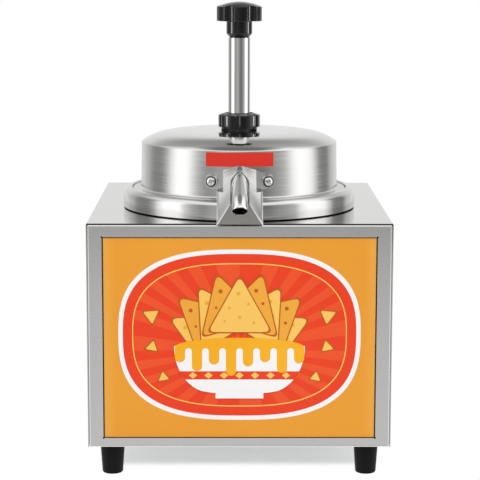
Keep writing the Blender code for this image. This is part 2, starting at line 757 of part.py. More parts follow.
def rings_along(mesh_data, path, radius):
    """Rings of vertices round a path in the YZ plane, each in its bend's middle plane."""
    last = len(path) - 1
    rings = []
    for index, (y, z) in enumerate(path):
        here = Vector((y, z))
        heading = Vector((0, 0))
        if index > 0:
            heading += (here - Vector(path[index - 1])).normalized()
        if index < last:
            heading += (Vector(path[index + 1]) - here).normalized()
        heading.normalize()
        upward = Vector((0, -heading.y, heading.x))
        rings.append([mesh_data.verts.new(Vector((u, y, z)) + v * upward)
                      for u, v in circle((0, 0), radius, SPOUT_SIDES)])
    return rings


def build_spout_tube(looks):
    path = spout_path()
    mesh_data = bmesh.new()
    outer = rings_along(mesh_data, path, SPOUT_RADIUS)
    inner = rings_along(mesh_data, path, SPOUT_RADIUS - SPOUT_WALL)
    for rings in (outer, inner):
        for first, second in zip(rings, rings[1:]):
            ring_between(mesh_data, first, second)
    ring_between(mesh_data, outer[0], inner[0])
    ring_between(mesh_data, outer[-1], inner[-1])
    add_object("spout_tube", mesh_data, looks["polished"])


def spout_clearance(name):
    """A solid bar along the spout, a little wider than it, that cuts its way out."""
    path = spout_path()
    path.append((path[-1][0] - OVERRUN * math.cos(MOUTH_SLOPE),
                 path[-1][1] - OVERRUN * math.sin(MOUTH_SLOPE)))
    mesh_data = bmesh.new()
    rings = rings_along(mesh_data, path[1:], SPOUT_RADIUS + SPOUT_PLAY)
    for first, second in zip(rings, rings[1:]):
        ring_between(mesh_data, first, second)
    mesh_data.faces.new(rings[0])
    mesh_data.faces.new(rings[-1][::-1])
    return add_object(name, mesh_data, None)


def ear_place(side, distance):
    """Frame whose Z axis points out of the lid's wall at one of the two screws."""
    angle = side * EAR_ANGLE
    out = Vector((math.sin(angle), -math.cos(angle), 0))
    across = Vector((math.cos(angle), math.sin(angle), 0))
    up = Vector((0, 0, 1))
    turn = Matrix((across, up, out)).transposed().to_4x4()
    place = out * distance + Vector((0, PUMP_Y, TOP_Z + EAR_RISE))
    return Matrix.Translation(place) @ turn


def ear_wall_radius():
    drop_share = (TOP_Z + EAR_RISE - LID_FLANGE_Z) / LID_WALL_HEIGHT
    return LID_WALL_RADIUS - LID_DRAFT * drop_share


def build_lid(looks):
    lid = turned("lid_shell", lid_profile(), looks["brushed"], (0, PUMP_Y, 0), WIDE_STEPS)
    cut(lid, spout_clearance("lid_spout_hole"))
    for name, side in (("left", -1), ("right", 1)):
        cutter = cylinder(f"lid_screw_hole_{name}", SCREW_RADIUS + SCREW_PLAY, -SCREW_LENGTH,
                          SCREW_LENGTH, (0, 0), "Z", None, TINY_STEPS)
        cutter.matrix_world = ear_place(side, LID_WALL_RADIUS)
        cut(lid, cutter)


def guard_section(share):
    """Half of the guard's outer face across the spout as (x, z), from its crest over the tube,
    by a rounded shoulder, to the foot; share goes from 0 at the lid to 1 at the front."""
    crest = SPOUT_RADIUS + GUARD_PLAY + GUARD_SHEET
    lid_z = spout_height(PUMP_Y - LID_WALL_RADIUS)
    middle_z = lid_z + (TOP_Z + GUARD_FRONT_RISE - lid_z) * share
    foot_z = TOP_Z + GUARD_FOOT
    shoulder_rise = GUARD_SHOULDER_RISE + (GUARD_FOOT - GUARD_SHOULDER_RISE) * share
    corner = Vector((GUARD_HALF_WIDTH, TOP_Z + shoulder_rise))

    squash = math.cos(SPOUT_SLOPE)
    drop = (corner.y - middle_z) * squash
    touch = math.atan2(drop, corner.x) + math.acos(crest / math.hypot(corner.x, drop))
    points = []
    for step in range(GUARD_CREST_STEPS + 1):
        angle = math.pi / 2 + (touch - math.pi / 2) * step / GUARD_CREST_STEPS
        points.append(Vector((crest * math.cos(angle),
                              middle_z + crest * math.sin(angle) / squash)))
    fold = min(GUARD_FOLD, (corner.y - foot_z) * GUARD_FOLD_SHARE)
    start = corner + (points[-1] - corner).normalized() * fold
    stop = corner - Vector((0, fold))
    for step in range(GUARD_FOLD_STEPS + 1):
        t = step / GUARD_FOLD_STEPS
        points.append(start * (1 - t) ** 2 + corner * 2 * t * (1 - t) + stop * t ** 2)
    return points + [Vector((GUARD_HALF_WIDTH, foot_z))]


def guard_shell(looks):
    """The folded sheet: rows across the spout, from the lid's wall to the front."""
    reach = LID_WALL_RADIUS + SEAT + GUARD_SHEET / 2
    front_y = FRONT_Y - GUARD_REACH
    mesh_data = bmesh.new()
    rows = []
    for step in range(GUARD_LENGTH_STEPS + 1):
        share = step / GUARD_LENGTH_STEPS
        section = guard_section(share)
        row = []
        for x, z in [(-x, z) for x, z in section[:0:-1]] + section:
            back_y = PUMP_Y - math.sqrt(reach ** 2 - x ** 2)
            row.append(mesh_data.verts.new((x, back_y + (front_y - back_y) * share, z)))
        rows.append(row)
    for first, second in zip(rows, rows[1:]):
        for index in range(len(first) - 1):
            after = index + 1
            mesh_data.faces.new((first[index], first[after], second[after], second[index]))
    bmesh.ops.remove_doubles(mesh_data, verts=mesh_data.verts, dist=WELD)
    shell = add_object("spout_guard", mesh_data, looks["brushed"])
    fold = shell.modifiers.new("thickness", "SOLIDIFY")
    fold.thickness = GUARD_SHEET
    fold.offset = -1
    fold.use_even_offset = True
    shell.modifiers.new("flat_faces", "TRIANGULATE")
    return shell


def guard_slot():
    """The slot along the crest that the tube shows in, round at the lid's end."""
    half = SPOUT_RADIUS + GUARD_SLOT_PLAY
    end_y = PUMP_Y - LID_WALL_RADIUS - GUARD_SLOT_SET - half
    front_y = FRONT_Y - GUARD_REACH - OVERRUN
    outline = arc((0, end_y), half, 0, 180, 8) + [(-half, front_y), (half, front_y)]
    return extruded("guard_slot", outline, TOP_Z, LID_CROWN_Z, "Z", None)


def guard_corner(side):
    """The corner cut out of the sheet above an ear's foot."""
    ends = sorted((side * EAR_ROOT_OFFSET, side * (GUARD_HALF_WIDTH + OVERRUN)))
    return block(f"guard_corner_{side}",
                 (ends[0], FRONT_Y, TOP_Z + EAR_RISE - EAR_RADIUS),
                 (ends[1], PUMP_Y, LID_CROWN_Z), None)


def guard_plate():
    """The plate that closes the guard round the spout's mouth."""
    section = guard_section(1)
    edge = section[GUARD_CREST_STEPS]
    foot = section[-1]
    half_sheet = GUARD_SHEET / 2
    outline = [
        (-foot.x + half_sheet, foot.y),
        (foot.x - half_sheet, foot.y),
        (edge.x - half_sheet, edge.y - half_sheet),
        (-edge.x + half_sheet, edge.y - half_sheet),
    ]
    near = FRONT_Y - GUARD_REACH + PLATE_INSET
    return extruded("guard_plate", outline, near, near + GUARD_SHEET, "Y", None)


def guard_notch():
    """The space that the guard's sides leave round the collar."""
    step_y = PUMP_Y - COLLAR_RADIUS - GUARD_CLEARANCE
    over_z = COLLAR_TOP_Z + GUARD_CLEARANCE
    outline = [
        (step_y, TOP_Z - OVERRUN),
        (PUMP_Y, TOP_Z - OVERRUN),
        (PUMP_Y, over_z),
        (step_y + COLLAR_SHOULDER, over_z),
        (step_y, COLLAR_TOP_Z - COLLAR_SHOULDER),
    ]
    reach = GUARD_HALF_WIDTH + OVERRUN
    return extruded("guard_notch", outline, -reach, reach, "X", None)


def guard_ear(side):
    """A round ear on the lid's wall, with the tab that joins it to the guard's crest."""
    tab = (EAR_OFFSET - EAR_ROOT_OFFSET + GUARD_SHEET) / math.cos(EAR_ANGLE)
    outline = arc((0, 0), EAR_RADIUS, 90, -90, 8) + [(-tab, -EAR_RADIUS), (-tab, EAR_ROOT_RISE)]
    if side < 0:
        outline = [(-x, y) for x, y in outline[::-1]]
    ear = extruded(f"guard_ear_{side}", outline, 0, GUARD_SHEET, "Z", None)
    ear.matrix_world = ear_place(side, ear_wall_radius() + SEAT)
    return ear


def build_guard(looks):
    guard = guard_shell(looks)
    cut(guard, guard_slot(), guard_corner(-1), guard_corner(1), guard_notch())
    join(guard, guard_plate(), guard_ear(-1), guard_ear(1))
    cut(guard, spout_clearance("guard_mouth_bore"))
    for name, side in (("left", -1), ("right", 1)):
        hole = cylinder(f"guard_hole_{name}", SCREW_RADIUS + SCREW_PLAY, -SCREW_LENGTH,
                        SCREW_LENGTH, (0, 0), "Z", None, TINY_STEPS)
        hole.matrix_world = ear_place(side, ear_wall_radius())
        cut(guard, hole)


def build_screws(looks):
    head = [
        (0, -SCREW_LENGTH),
        (SCREW_RADIUS, -SCREW_LENGTH),
        (SCREW_RADIUS, 0),
        (SCREW_HEAD_RADIUS, 0),
    ]
    centre = (SCREW_HEAD_RADIUS - SCREW_HEAD_ROUND, SCREW_HEAD_HEIGHT - SCREW_HEAD_ROUND)
    head += arc(centre, SCREW_HEAD_ROUND, 0, 90, 3)
    head += [(0, SCREW_HEAD_HEIGHT)]
    distance = ear_wall_radius() + SEAT + GUARD_SHEET + SEAT
    for name, side in (("left", -1), ("right", 1)):
        screw = turned(f"spout_screw_{name}", head, looks["polished"], (0, 0, 0), TINY_STEPS)
        screw.matrix_world = ear_place(side, distance)


# Guide, lock nut and plunger

def build_guide(looks):
    flange = THREAD_RADIUS + GUIDE_FLANGE_WIDTH
    skirt = SOCKET_RADIUS + GUIDE_SOCKET_WALL
    socket_z = GUIDE_BASE_Z - GUIDE_SOCKET_DEPTH
    guide = [
        (THREAD_RADIUS, THREAD_TOP_Z),
        (GUIDE_BORE, THREAD_TOP_Z),
        (GUIDE_BORE, GUIDE_BASE_Z),
        (SOCKET_RADIUS, GUIDE_BASE_Z),
        (SOCKET_RADIUS, socket_z),
        (skirt, socket_z),
        (skirt, GUIDE_BASE_Z),
        (flange, GUIDE_BASE_Z),
        (flange, GUIDE_TOP_Z),
        (THREAD_RADIUS, GUIDE_TOP_Z),
    ]
    turned("guide_collar", guide, looks["polished"], (0, PUMP_Y, 0), ROUND_STEPS)

    lip = BUSH_RADIUS + GUIDE_THREAD_WALL
    bush = [
        (BUSH_BORE, GUIDE_BASE_Z),
        (BUSH_RADIUS, GUIDE_BASE_Z),
        (BUSH_RADIUS, THREAD_TOP_Z + SEAT),
        (lip, THREAD_TOP_Z + SEAT),
        (lip, BUSH_TOP_Z),
        (BUSH_BORE, BUSH_TOP_Z),
    ]
    turned("guide_bush", bush, looks["resin"], (0, PUMP_Y, 0), ROUND_STEPS)

    low = LID_CROWN_Z + SEAT
    high = low + WASHER_THICKNESS
    outer = NUT_RADIUS - NUT_BASE_SET
    washer = [(NUT_BORE, low), (outer, low), (outer, high), (NUT_BORE, high)]
    turned("lid_washer", washer, looks["rubber"], (0, PUMP_Y, 0), ROUND_STEPS)


def grooved(thing, count, radius, distance, turn, low, high):
    for index in range(count):
        angle = turn + 2 * math.pi * index / count
        centre = (distance * math.cos(angle), distance * math.sin(angle))
        groove = cylinder(f"{thing.name}_groove_{index}", radius, low, high, centre, "Z", None,
                          SMALL_STEPS)
        groove.location = (0, PUMP_Y, 0)
        cut(thing, groove)


def build_nut(looks):
    base = NUT_RADIUS - NUT_BASE_SET
    mouth = TUBE_RADIUS + NUT_MOUTH_PLAY
    body_z = NUT_Z + NUT_BASE_HEIGHT
    edge_z = NUT_TOP_Z - NUT_TOP_FALL
    profile = [
        (NUT_BORE, NUT_Z),
        (base, NUT_Z),
        (base, body_z),
        (NUT_RADIUS, body_z),
        (NUT_RADIUS, edge_z - NUT_CHAMFER),
        (NUT_RADIUS - NUT_CHAMFER, edge_z),
        (mouth + NUT_CHAMFER, NUT_TOP_Z),
        (mouth, NUT_TOP_Z - NUT_CHAMFER),
        (mouth, NUT_TOP_Z - NUT_TOP_THICKNESS),
        (NUT_BORE, NUT_TOP_Z - NUT_TOP_THICKNESS),
    ]
    nut = turned("lock_nut", profile, looks["black"], (0, PUMP_Y, 0), ROUND_STEPS)
    grooved(nut, NUT_GROOVES, NUT_GROOVE_RADIUS, NUT_RADIUS + NUT_GROOVE_SET, NUT_GROOVE_TURN,
            body_z, NUT_TOP_Z + OVERRUN)


def build_plunger(looks):
    tube = [
        (TUBE_RADIUS, TUBE_FOOT_Z),
        (TUBE_RADIUS, TUBE_TOP_Z),
        (TUBE_BORE, TUBE_TOP_Z),
        (TUBE_BORE, TUBE_FOOT_Z),
    ]
    turned("plunger_tube", tube, looks["polished"], (0, PUMP_Y, 0), ROUND_STEPS)

    hub_z = TUBE_TOP_Z + SEAT
    tip = TUBE_RADIUS - HUB_TIP_SET
    plug = TUBE_BORE - SEAT
    flute_z = hub_z + HUB_HEIGHT
    rim_z = flute_z + KNOB_HEIGHT
    dome_radius = KNOB_RADIUS - KNOB_ROUND
    knob = [
        (0, hub_z - HUB_PLUG_LENGTH),
        (plug, hub_z - HUB_PLUG_LENGTH),
        (plug, hub_z),
        (tip, hub_z),
        (HUB_RADIUS, hub_z + HUB_CHAMFER),
        (HUB_RADIUS, flute_z),
        (KNOB_RADIUS, flute_z),
        (KNOB_RADIUS, rim_z - KNOB_ROUND),
    ]
    dome_shares = (1.0, 0.8, 0.55, 0.3)
    for share in dome_shares:
        knob.append((dome_radius * share, rim_z + KNOB_DOME * (1 - share ** 2)))
    knob.append((0, rim_z + KNOB_DOME))
    head = turned("pump_knob", knob, looks["black"], (0, PUMP_Y, 0), ROUND_STEPS)
    grooved(head, KNOB_GROOVES, KNOB_GROOVE_RADIUS, KNOB_RADIUS + KNOB_GROOVE_SET,
            KNOB_GROOVE_TURN, flute_z - OVERRUN, rim_z + KNOB_DOME + OVERRUN)


def build_piston(looks):
    radius = BARREL_BORE - PISTON_PLAY
    groove = radius - SEAL_DEPTH
    top = PISTON_Z + PISTON_HEIGHT
    seal_low = PISTON_Z + (PISTON_HEIGHT - SEAL_HEIGHT) / 2
    seal_high = seal_low + SEAL_HEIGHT
    spigot = TUBE_BORE - SEAT
    piston = [
        (0, PISTON_Z),
        (radius, PISTON_Z),
        (radius, seal_low - SEAT),
        (groove, seal_low - SEAT),
        (groove, seal_high + SEAT),
        (radius, seal_high + SEAT),
        (radius, top),
        (spigot, top),
        (spigot, top + PISTON_SPIGOT),
        (0, top + PISTON_SPIGOT),
    ]
    turned("piston", piston, looks["resin"], (0, PUMP_Y, 0), ROUND_STEPS)

    inner = groove + SEAT
    outer = BARREL_BORE - SLIDE
    seal = [(inner, seal_low), (outer, seal_low), (outer, seal_high), (inner, seal_high)]
    turned("piston_seal", seal, looks["seal"], (0, PUMP_Y, 0), ROUND_STEPS)


def build_spring(looks):
    low = SPRING_Z + SPRING_WIRE_RADIUS
    high = PISTON_Z - SEAT - SPRING_WIRE_RADIUS
    count = SPRING_TURNS * SPRING_TURN_STEPS
    mesh_data = bmesh.new()
    rings = []
    for step in range(count + 1):
        share = step / count
        angle = 2 * math.pi * SPRING_TURNS * share
        rise = low + (high - low) * share
        outward = Vector((math.cos(angle), math.sin(angle), 0))
        slope = (high - low) / (2 * math.pi * SPRING_TURNS)
        along = Vector((-SPRING_RADIUS * outward.y, SPRING_RADIUS * outward.x, slope)).normalized()
        upward = along.cross(outward)
        centre = outward * SPRING_RADIUS + Vector((0, 0, rise))
        ring = [mesh_data.verts.new(centre + outward * u + upward * v)
                for u, v in circle((0, 0), SPRING_WIRE_RADIUS, SPRING_SIDES)]
        rings.append(ring)
    for first, second in zip(rings, rings[1:]):
        ring_between(mesh_data, first, second)
    mesh_data.faces.new(rings[0])
    mesh_data.faces.new(rings[-1][::-1])
    spring = add_object("return_spring", mesh_data, looks["polished"])
    spring.location = (0, PUMP_Y, 0)


# Barrel and valve block

def valve_outline():
    """A block round the barrel and the riser: two circles and their outer tangents."""
    barrel = SOCKET_RADIUS + VALVE_WALL
    riser = SPOUT_RADIUS + SEAT + VALVE_WALL
    distance = PUMP_Y - RISER_Y
    lean = math.degrees(math.asin((barrel - riser) / distance))
    outline = arc((0, PUMP_Y), barrel, -lean, 180 + lean, 14)
    return outline + arc((0, RISER_Y), riser, 180 + lean, 360 - lean, 8)


def build_valve(looks):
    bore_z = BARREL_Z
    top = GUIDE_BASE_Z - SEAT
    barrel = [
        (BARREL_BORE, bore_z),
        (BARREL_RADIUS, bore_z),
        (BARREL_RADIUS, top),
        (BARREL_BORE, top),
    ]
    turned("pump_barrel", barrel, looks["polished"], (0, PUMP_Y, 0), ROUND_STEPS)

    valve = extruded("valve_body", valve_outline(), VALVE_Z, VALVE_TOP_Z, "Z", looks["polished"])
    here = (0, PUMP_Y)
    riser = (0, RISER_Y)
    over = VALVE_TOP_Z + OVERRUN
    chamber = INLET_BALL_RADIUS + VALVE_CHAMBER_PLAY
    outlet_z = VALVE_SOCKET_Z - OUTLET_BORE_DEPTH
    passage_z = (outlet_z + VALVE_SOCKET_Z) / 2
    cut(
        valve,
        cylinder("valve_socket", SOCKET_RADIUS, VALVE_SOCKET_Z, over, here, "Z", None, ROUND_STEPS),
        cylinder("valve_chamber", chamber, CHAMBER_Z, over, here, "Z", None, SMALL_STEPS),
        cylinder("valve_inlet", INLET_SEAT_RADIUS, VALVE_Z - OVERRUN, over, here, "Z", None,
                 SMALL_STEPS),
        cylinder("riser_socket", SPOUT_RADIUS + SEAT, VALVE_SOCKET_Z, over, riser, "Z", None,
                 SMALL_STEPS),
        cylinder("outlet_bore", OUTLET_SEAT_RADIUS, outlet_z, over, riser, "Z", None,
                 TINY_STEPS),
        cylinder("valve_passage", PASSAGE_RADIUS, RISER_Y, PUMP_Y, (0, passage_z), "Y", None,
                 TINY_STEPS),
    )

    foot_radius = INLET_SEAT_RADIUS + chamber
    foot_top = VALVE_Z - SEAT
    foot = [
        (foot_radius - VALVE_FOOT_WALL, VALVE_FOOT_Z),
        (foot_radius, VALVE_FOOT_Z),
        (foot_radius, foot_top),
        (foot_radius - VALVE_FOOT_WALL, foot_top),
    ]
    valve_foot = turned("valve_foot", foot, looks["resin"], (0, PUMP_Y, 0), SMALL_STEPS)
    half = VALVE_FOOT_SLOT / 2
    reach = foot_radius + OVERRUN
    slot_top = VALVE_FOOT_Z + VALVE_FOOT_HEIGHT / 2
    slot_low = VALVE_FOOT_Z - OVERRUN
    cut(
        valve_foot,
        block("foot_slot_x", (-reach, PUMP_Y - half, slot_low), (reach, PUMP_Y + half, slot_top),
              None),
        block("foot_slot_y", (-half, PUMP_Y - reach, slot_low), (half, PUMP_Y + reach, slot_top),
              None),
    )

    build_ball("inlet_ball", INLET_BALL_RADIUS, INLET_SEAT_RADIUS, CHAMBER_Z, PUMP_Y, looks)
    build_ball("outlet_ball", OUTLET_BALL_RADIUS, OUTLET_SEAT_RADIUS, VALVE_SOCKET_Z, RISER_Y,
               looks)


def build_ball(name, radius, seat_radius, seat_z, y, looks):
    centre_z = seat_z + math.sqrt(radius ** 2 - seat_radius ** 2) + SEAT
    profile = [(0, -radius)] + arc((0, 0), radius, -75, 75, 6) + [(0, radius)]
    turned(name, profile, looks["polished"], (0, y, centre_z), TINY_STEPS)


# Lamp behind the sign

def build_lamp(looks):
    lamp_y = FRONT_Y + LAMP_SETBACK
    tray_z = BASE_Z + SHEET + SEAT
    floor_z = tray_z + SHEET
    lamp_z = floor_z + LAMP_RISE
    half = CABINET_WIDTH / 2 - LAMP_INSET
    cylinder("lamp_tube", LAMP_RADIUS, -half, half, (lamp_y, lamp_z), "X", looks["lamp"],
             SMALL_STEPS)

    reach = LAMP_RADIUS + HOLDER_MARGIN
    inner = half - HOLDER_SOCKET
    for name, side in (("left", -1), ("right", 1)):
        ends = sorted((side * inner, side * (inner + HOLDER_WIDTH)))
        outline = [(lamp_y - reach, floor_z + SEAT), (lamp_y + reach, floor_z + SEAT)]
        outline += arc((lamp_y, lamp_z), reach, 0, 180, 8)
        holder = extruded(f"lamp_holder_{name}", outline, ends[0], ends[1], "X", looks["resin"])
        socket = sorted((side * (inner - OVERRUN), side * (half + SEAT)))
        cut(holder, cylinder(f"holder_socket_{name}", LAMP_RADIUS + SEAT, socket[0], socket[1],
                             (lamp_y, lamp_z), "X", None, SMALL_STEPS))

    tray_front = lamp_y - reach - TRAY_MARGIN / 2
    tray_back = lamp_y + reach + TRAY_MARGIN
    outline = [
        (tray_front, tray_z),
        (tray_back, tray_z),
        (tray_back, tray_z + TRAY_WALL_HEIGHT),
        (tray_back - SHEET, tray_z + TRAY_WALL_HEIGHT),
        (tray_back - SHEET, floor_z),
        (tray_front, floor_z),
    ]
    length = inner + HOLDER_WIDTH + TRAY_MARGIN / 3
    extruded("lamp_tray", outline, -length, length, "X", looks["zinc"])


# Rear panel and controls

def build_rear(looks):
    panel = tray_with_flange("rear_panel", BACK_Y - FLANGE, BACK_Y, False, looks["brushed"])
    control_z = BASE_Z + CONTROL_RISE
    low = BACK_Y - SHEET - OVERRUN
    high = BACK_Y + OVERRUN
    pocket_half_x, pocket_half_z = switch_pocket()
    body_x = pocket_half_x + SWITCH_WALL + SEAT
    body_z = pocket_half_z + SWITCH_WALL + SEAT
    cut(
        panel,
        cylinder("panel_dial_hole", BUSHING_RADIUS + SEAT, low, high, (DIAL_X, control_z), "Y",
                 None, SMALL_STEPS),
        cylinder("panel_pilot_hole", PILOT_NECK_RADIUS + SEAT, low, high, (PILOT_X, control_z),
                 "Y", None, SMALL_STEPS),
        cylinder("panel_gland_hole", GLAND_NECK_RADIUS + SEAT, low, high,
                 (GLAND_X, BASE_Z + GLAND_RISE), "Y", None, SMALL_STEPS),
        block("panel_switch_hole", (SWITCH_X - body_x, low, control_z - body_z),
              (SWITCH_X + body_x, high, control_z + body_z), None),
    )
    half = LOUVRE_WIDTH / 2
    for index in range(LOUVRE_COUNT):
        foot = BASE_Z + LOUVRE_RISE + index * LOUVRE_PITCH
        skin = BACK_Y - SHEET
        outer = [
            (skin, foot + LOUVRE_HEIGHT + SHEET),
            (BACK_Y, foot + LOUVRE_HEIGHT + SHEET),
            (BACK_Y + LOUVRE_DEPTH, foot + SHEET),
            (BACK_Y + LOUVRE_DEPTH, foot),
            (skin, foot),
        ]
        inner = [
            (skin - OVERRUN, foot + LOUVRE_HEIGHT),
            (BACK_Y - SHEET / 2, foot + LOUVRE_HEIGHT),
            (BACK_Y + LOUVRE_DEPTH - SHEET, foot + SHEET),
            (BACK_Y + LOUVRE_DEPTH - SHEET, foot - SHEET),
            (BACK_Y + SEAT, foot - SHEET),
            (BACK_Y + SEAT, foot + SHEET / 2),
            (skin - OVERRUN, foot + SHEET / 2),
        ]
        hood = extruded(f"louvre_hood_{index}", outer, -half - SHEET, half + SHEET, "X", None)
        throat = extruded(f"louvre_throat_{index}", inner, -half, half, "X", None)
        join(panel, hood)
        cut(panel, throat)


def build_thermostat(looks):
    control_z = BASE_Z + CONTROL_RISE
    behind = BACK_Y - SHEET - SEAT
    half = THERMOSTAT_SIZE / 2
    body = block("thermostat_body", (DIAL_X - half, behind - THERMOSTAT_DEPTH, control_z - half),
                 (DIAL_X + half, behind, control_z + half), looks["resin"])
    centre = (DIAL_X, control_z)
    bushing_end = BACK_Y + DIAL_STANDOFF / 2
    join(
        body,
        cylinder("thermostat_bushing", BUSHING_RADIUS, behind - OVERRUN, bushing_end, centre, "Y",
                 None, SMALL_STEPS),
        cylinder("thermostat_shaft", SHAFT_RADIUS, behind - OVERRUN, BACK_Y + SHAFT_LENGTH, centre,
                 "Y", None, TINY_STEPS),
    )

    base = BACK_Y + DIAL_STANDOFF
    skirt_top = base + DIAL_SKIRT
    top = BACK_Y + DIAL_HEIGHT
    taper = DIAL_RADIUS - DIAL_SKIRT / 2
    dial = turned("thermostat_knob",
                  [(0, 0), (DIAL_RADIUS, 0), (DIAL_RADIUS, DIAL_SKIRT / 2), (taper, DIAL_SKIRT),
                   (0, DIAL_SKIRT)],
                  looks["black"], (0, 0, 0), ROUND_STEPS)
    dial.matrix_world = Matrix.Translation((DIAL_X, base, control_z)) @ Matrix.Rotation(
        -math.pi / 2, 4, "X")
    grip = []
    for end in (1, -1):
        grip += arc((DIAL_X, control_z + end * (DIAL_GRIP_RADIUS - DIAL_GRIP_HALF_WIDTH)),
                    DIAL_GRIP_HALF_WIDTH, 90 - end * 90, 270 - end * 90, 5)
    join(dial, extruded("dial_grip", grip, skirt_top - SHEET, top, "Y", None))
    cut(dial, cylinder("dial_bore", SHAFT_RADIUS + SEAT, base - OVERRUN,
                       BACK_Y + DIAL_BORE_DEPTH, centre, "Y", None, TINY_STEPS))


def switch_pocket():
    """Half width and half height of the hollow in the switch that the rocker tilts in."""
    reach = math.hypot(ROCKER_HALF_HEIGHT, ROCKER_CREST)
    return ROCKER_WIDTH / 2 + SEAT, reach + SEAT


def build_switch(looks):
    control_z = BASE_Z + CONTROL_RISE
    pocket_x, pocket_z = switch_pocket()
    body_x = pocket_x + SWITCH_WALL
    body_z = pocket_z + SWITCH_WALL
    face = BACK_Y + SEAT + SWITCH_BEZEL
    housing = block("switch_housing", (SWITCH_X - body_x, face - SWITCH_DEPTH, control_z - body_z),
                    (SWITCH_X + body_x, face, control_z + body_z), looks["black"])
    bezel_x = body_x + SWITCH_BEZEL_WIDTH
    bezel_z = body_z + SWITCH_BEZEL_WIDTH
    bezel = block("switch_bezel", (SWITCH_X - bezel_x, BACK_Y + SEAT, control_z - bezel_z),
                  (SWITCH_X + bezel_x, face, control_z + bezel_z), None)
    join(housing, bezel)
    cut(housing, block("switch_hollow", (SWITCH_X - pocket_x, face - SWITCH_POCKET,
                                         control_z - pocket_z),
                       (SWITCH_X + pocket_x, face + OVERRUN, control_z + pocket_z), None))

    outline = [
        (-ROCKER_KEEL, 0),
        (-ROCKER_KEEL / 2, ROCKER_KEEL_HALF_HEIGHT),
        (ROCKER_CREST, ROCKER_HALF_HEIGHT),
        (ROCKER_VALLEY, 0),
        (ROCKER_CREST, -ROCKER_HALF_HEIGHT),
        (-ROCKER_KEEL / 2, -ROCKER_KEEL_HALF_HEIGHT),
    ]
    half = ROCKER_WIDTH / 2
    rocker = extruded("switch_rocker", outline, -half, half, "X", looks["black"])
    pivot_y = face - ROCKER_VALLEY
    rocker.location = (SWITCH_X, pivot_y, control_z)
    rocker.rotation_euler = (ROCKER_TILT, 0, 0)


def build_small_controls(looks):
    control_z = BASE_Z + CONTROL_RISE
    lens = [(0, -PILOT_LENGTH), (PILOT_NECK_RADIUS, -PILOT_LENGTH), (PILOT_NECK_RADIUS, SEAT)]
    lens += [(PILOT_RADIUS, SEAT)]
    dome_shares = (1.0, 0.8, 0.5)
    lens += [(PILOT_RADIUS * share, PILOT_DOME * (1 - share ** 2) + PILOT_DOME / 3)
             for share in dome_shares]
    lens += [(0, PILOT_DOME + PILOT_DOME / 3)]
    pilot = turned("indicator_lamp", lens, looks["pilot"], (0, 0, 0), SMALL_STEPS)
    outwards = Matrix.Rotation(-math.pi / 2, 4, "X")
    pilot.matrix_world = Matrix.Translation((PILOT_X, BACK_Y, control_z)) @ outwards

    inside = -SHEET - SEAT
    gland = [
        (GLAND_BORE_RADIUS, inside - GLAND_NUT_HEIGHT),
        (GLAND_RADIUS, inside - GLAND_NUT_HEIGHT),
        (GLAND_RADIUS, inside),
        (GLAND_NECK_RADIUS, inside),
        (GLAND_NECK_RADIUS, SEAT),
        (GLAND_RADIUS, SEAT),
        (GLAND_RADIUS, GLAND_REACH / 2),
        (GLAND_NECK_RADIUS, GLAND_REACH),
        (GLAND_BORE_RADIUS, GLAND_REACH),
    ]
    fitting = turned("cord_gland", gland, looks["black"], (0, 0, 0), SMALL_STEPS)
    fitting.matrix_world = Matrix.Translation((GLAND_X, BACK_Y, BASE_Z + GLAND_RISE)) @ outwards


def build_terminals(looks):
    low_z = BASE_Z + SHEET + SEAT
    top_z = low_z + TERMINAL_HEIGHT
    back = BACK_Y - TERMINAL_SETBACK
    half = TERMINAL_LENGTH / 2
    terminal = block("terminal_block", (GLAND_X - TERMINAL_LENGTH, back - TERMINAL_WIDTH, low_z),
                     (GLAND_X, back, top_z), looks["resin"])
    for index in range(TERMINAL_POLES):
        x = GLAND_X - half + (index - (TERMINAL_POLES - 1) / 2) * TERMINAL_LENGTH / TERMINAL_POLES
        cut(terminal, cylinder(f"terminal_hole_{index}", TERMINAL_HOLE_RADIUS,
                               top_z - TERMINAL_HOLE_DEPTH, top_z + OVERRUN,
                               (x, back - TERMINAL_WIDTH / 2), "Z", None, TINY_STEPS))


def main():
    for thing in list(bpy.data.objects):
        bpy.data.objects.remove(thing, do_unlink=True)
    looks = make_looks()
    build_wrap(looks)
    build_front(looks)
    build_pan(looks)
    build_feet(looks)
    build_collar(looks)
    build_vessels(looks)
    build_heating(looks)
    build_lid(looks)
    build_spout_tube(looks)
    build_guard(looks)
    build_screws(looks)
    build_guide(looks)
    build_nut(looks)
    build_plunger(looks)
    build_piston(looks)
    build_spring(looks)
    build_valve(looks)
    build_lamp(looks)
    build_rear(looks)
    build_thermostat(looks)
    build_switch(looks)
    build_small_controls(looks)
    build_terminals(looks)


main()
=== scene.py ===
"""Looks of the cheese warmer: finer pieces, materials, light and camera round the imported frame."""
import math

import bmesh
import bpy
from mathutils import Matrix, Vector


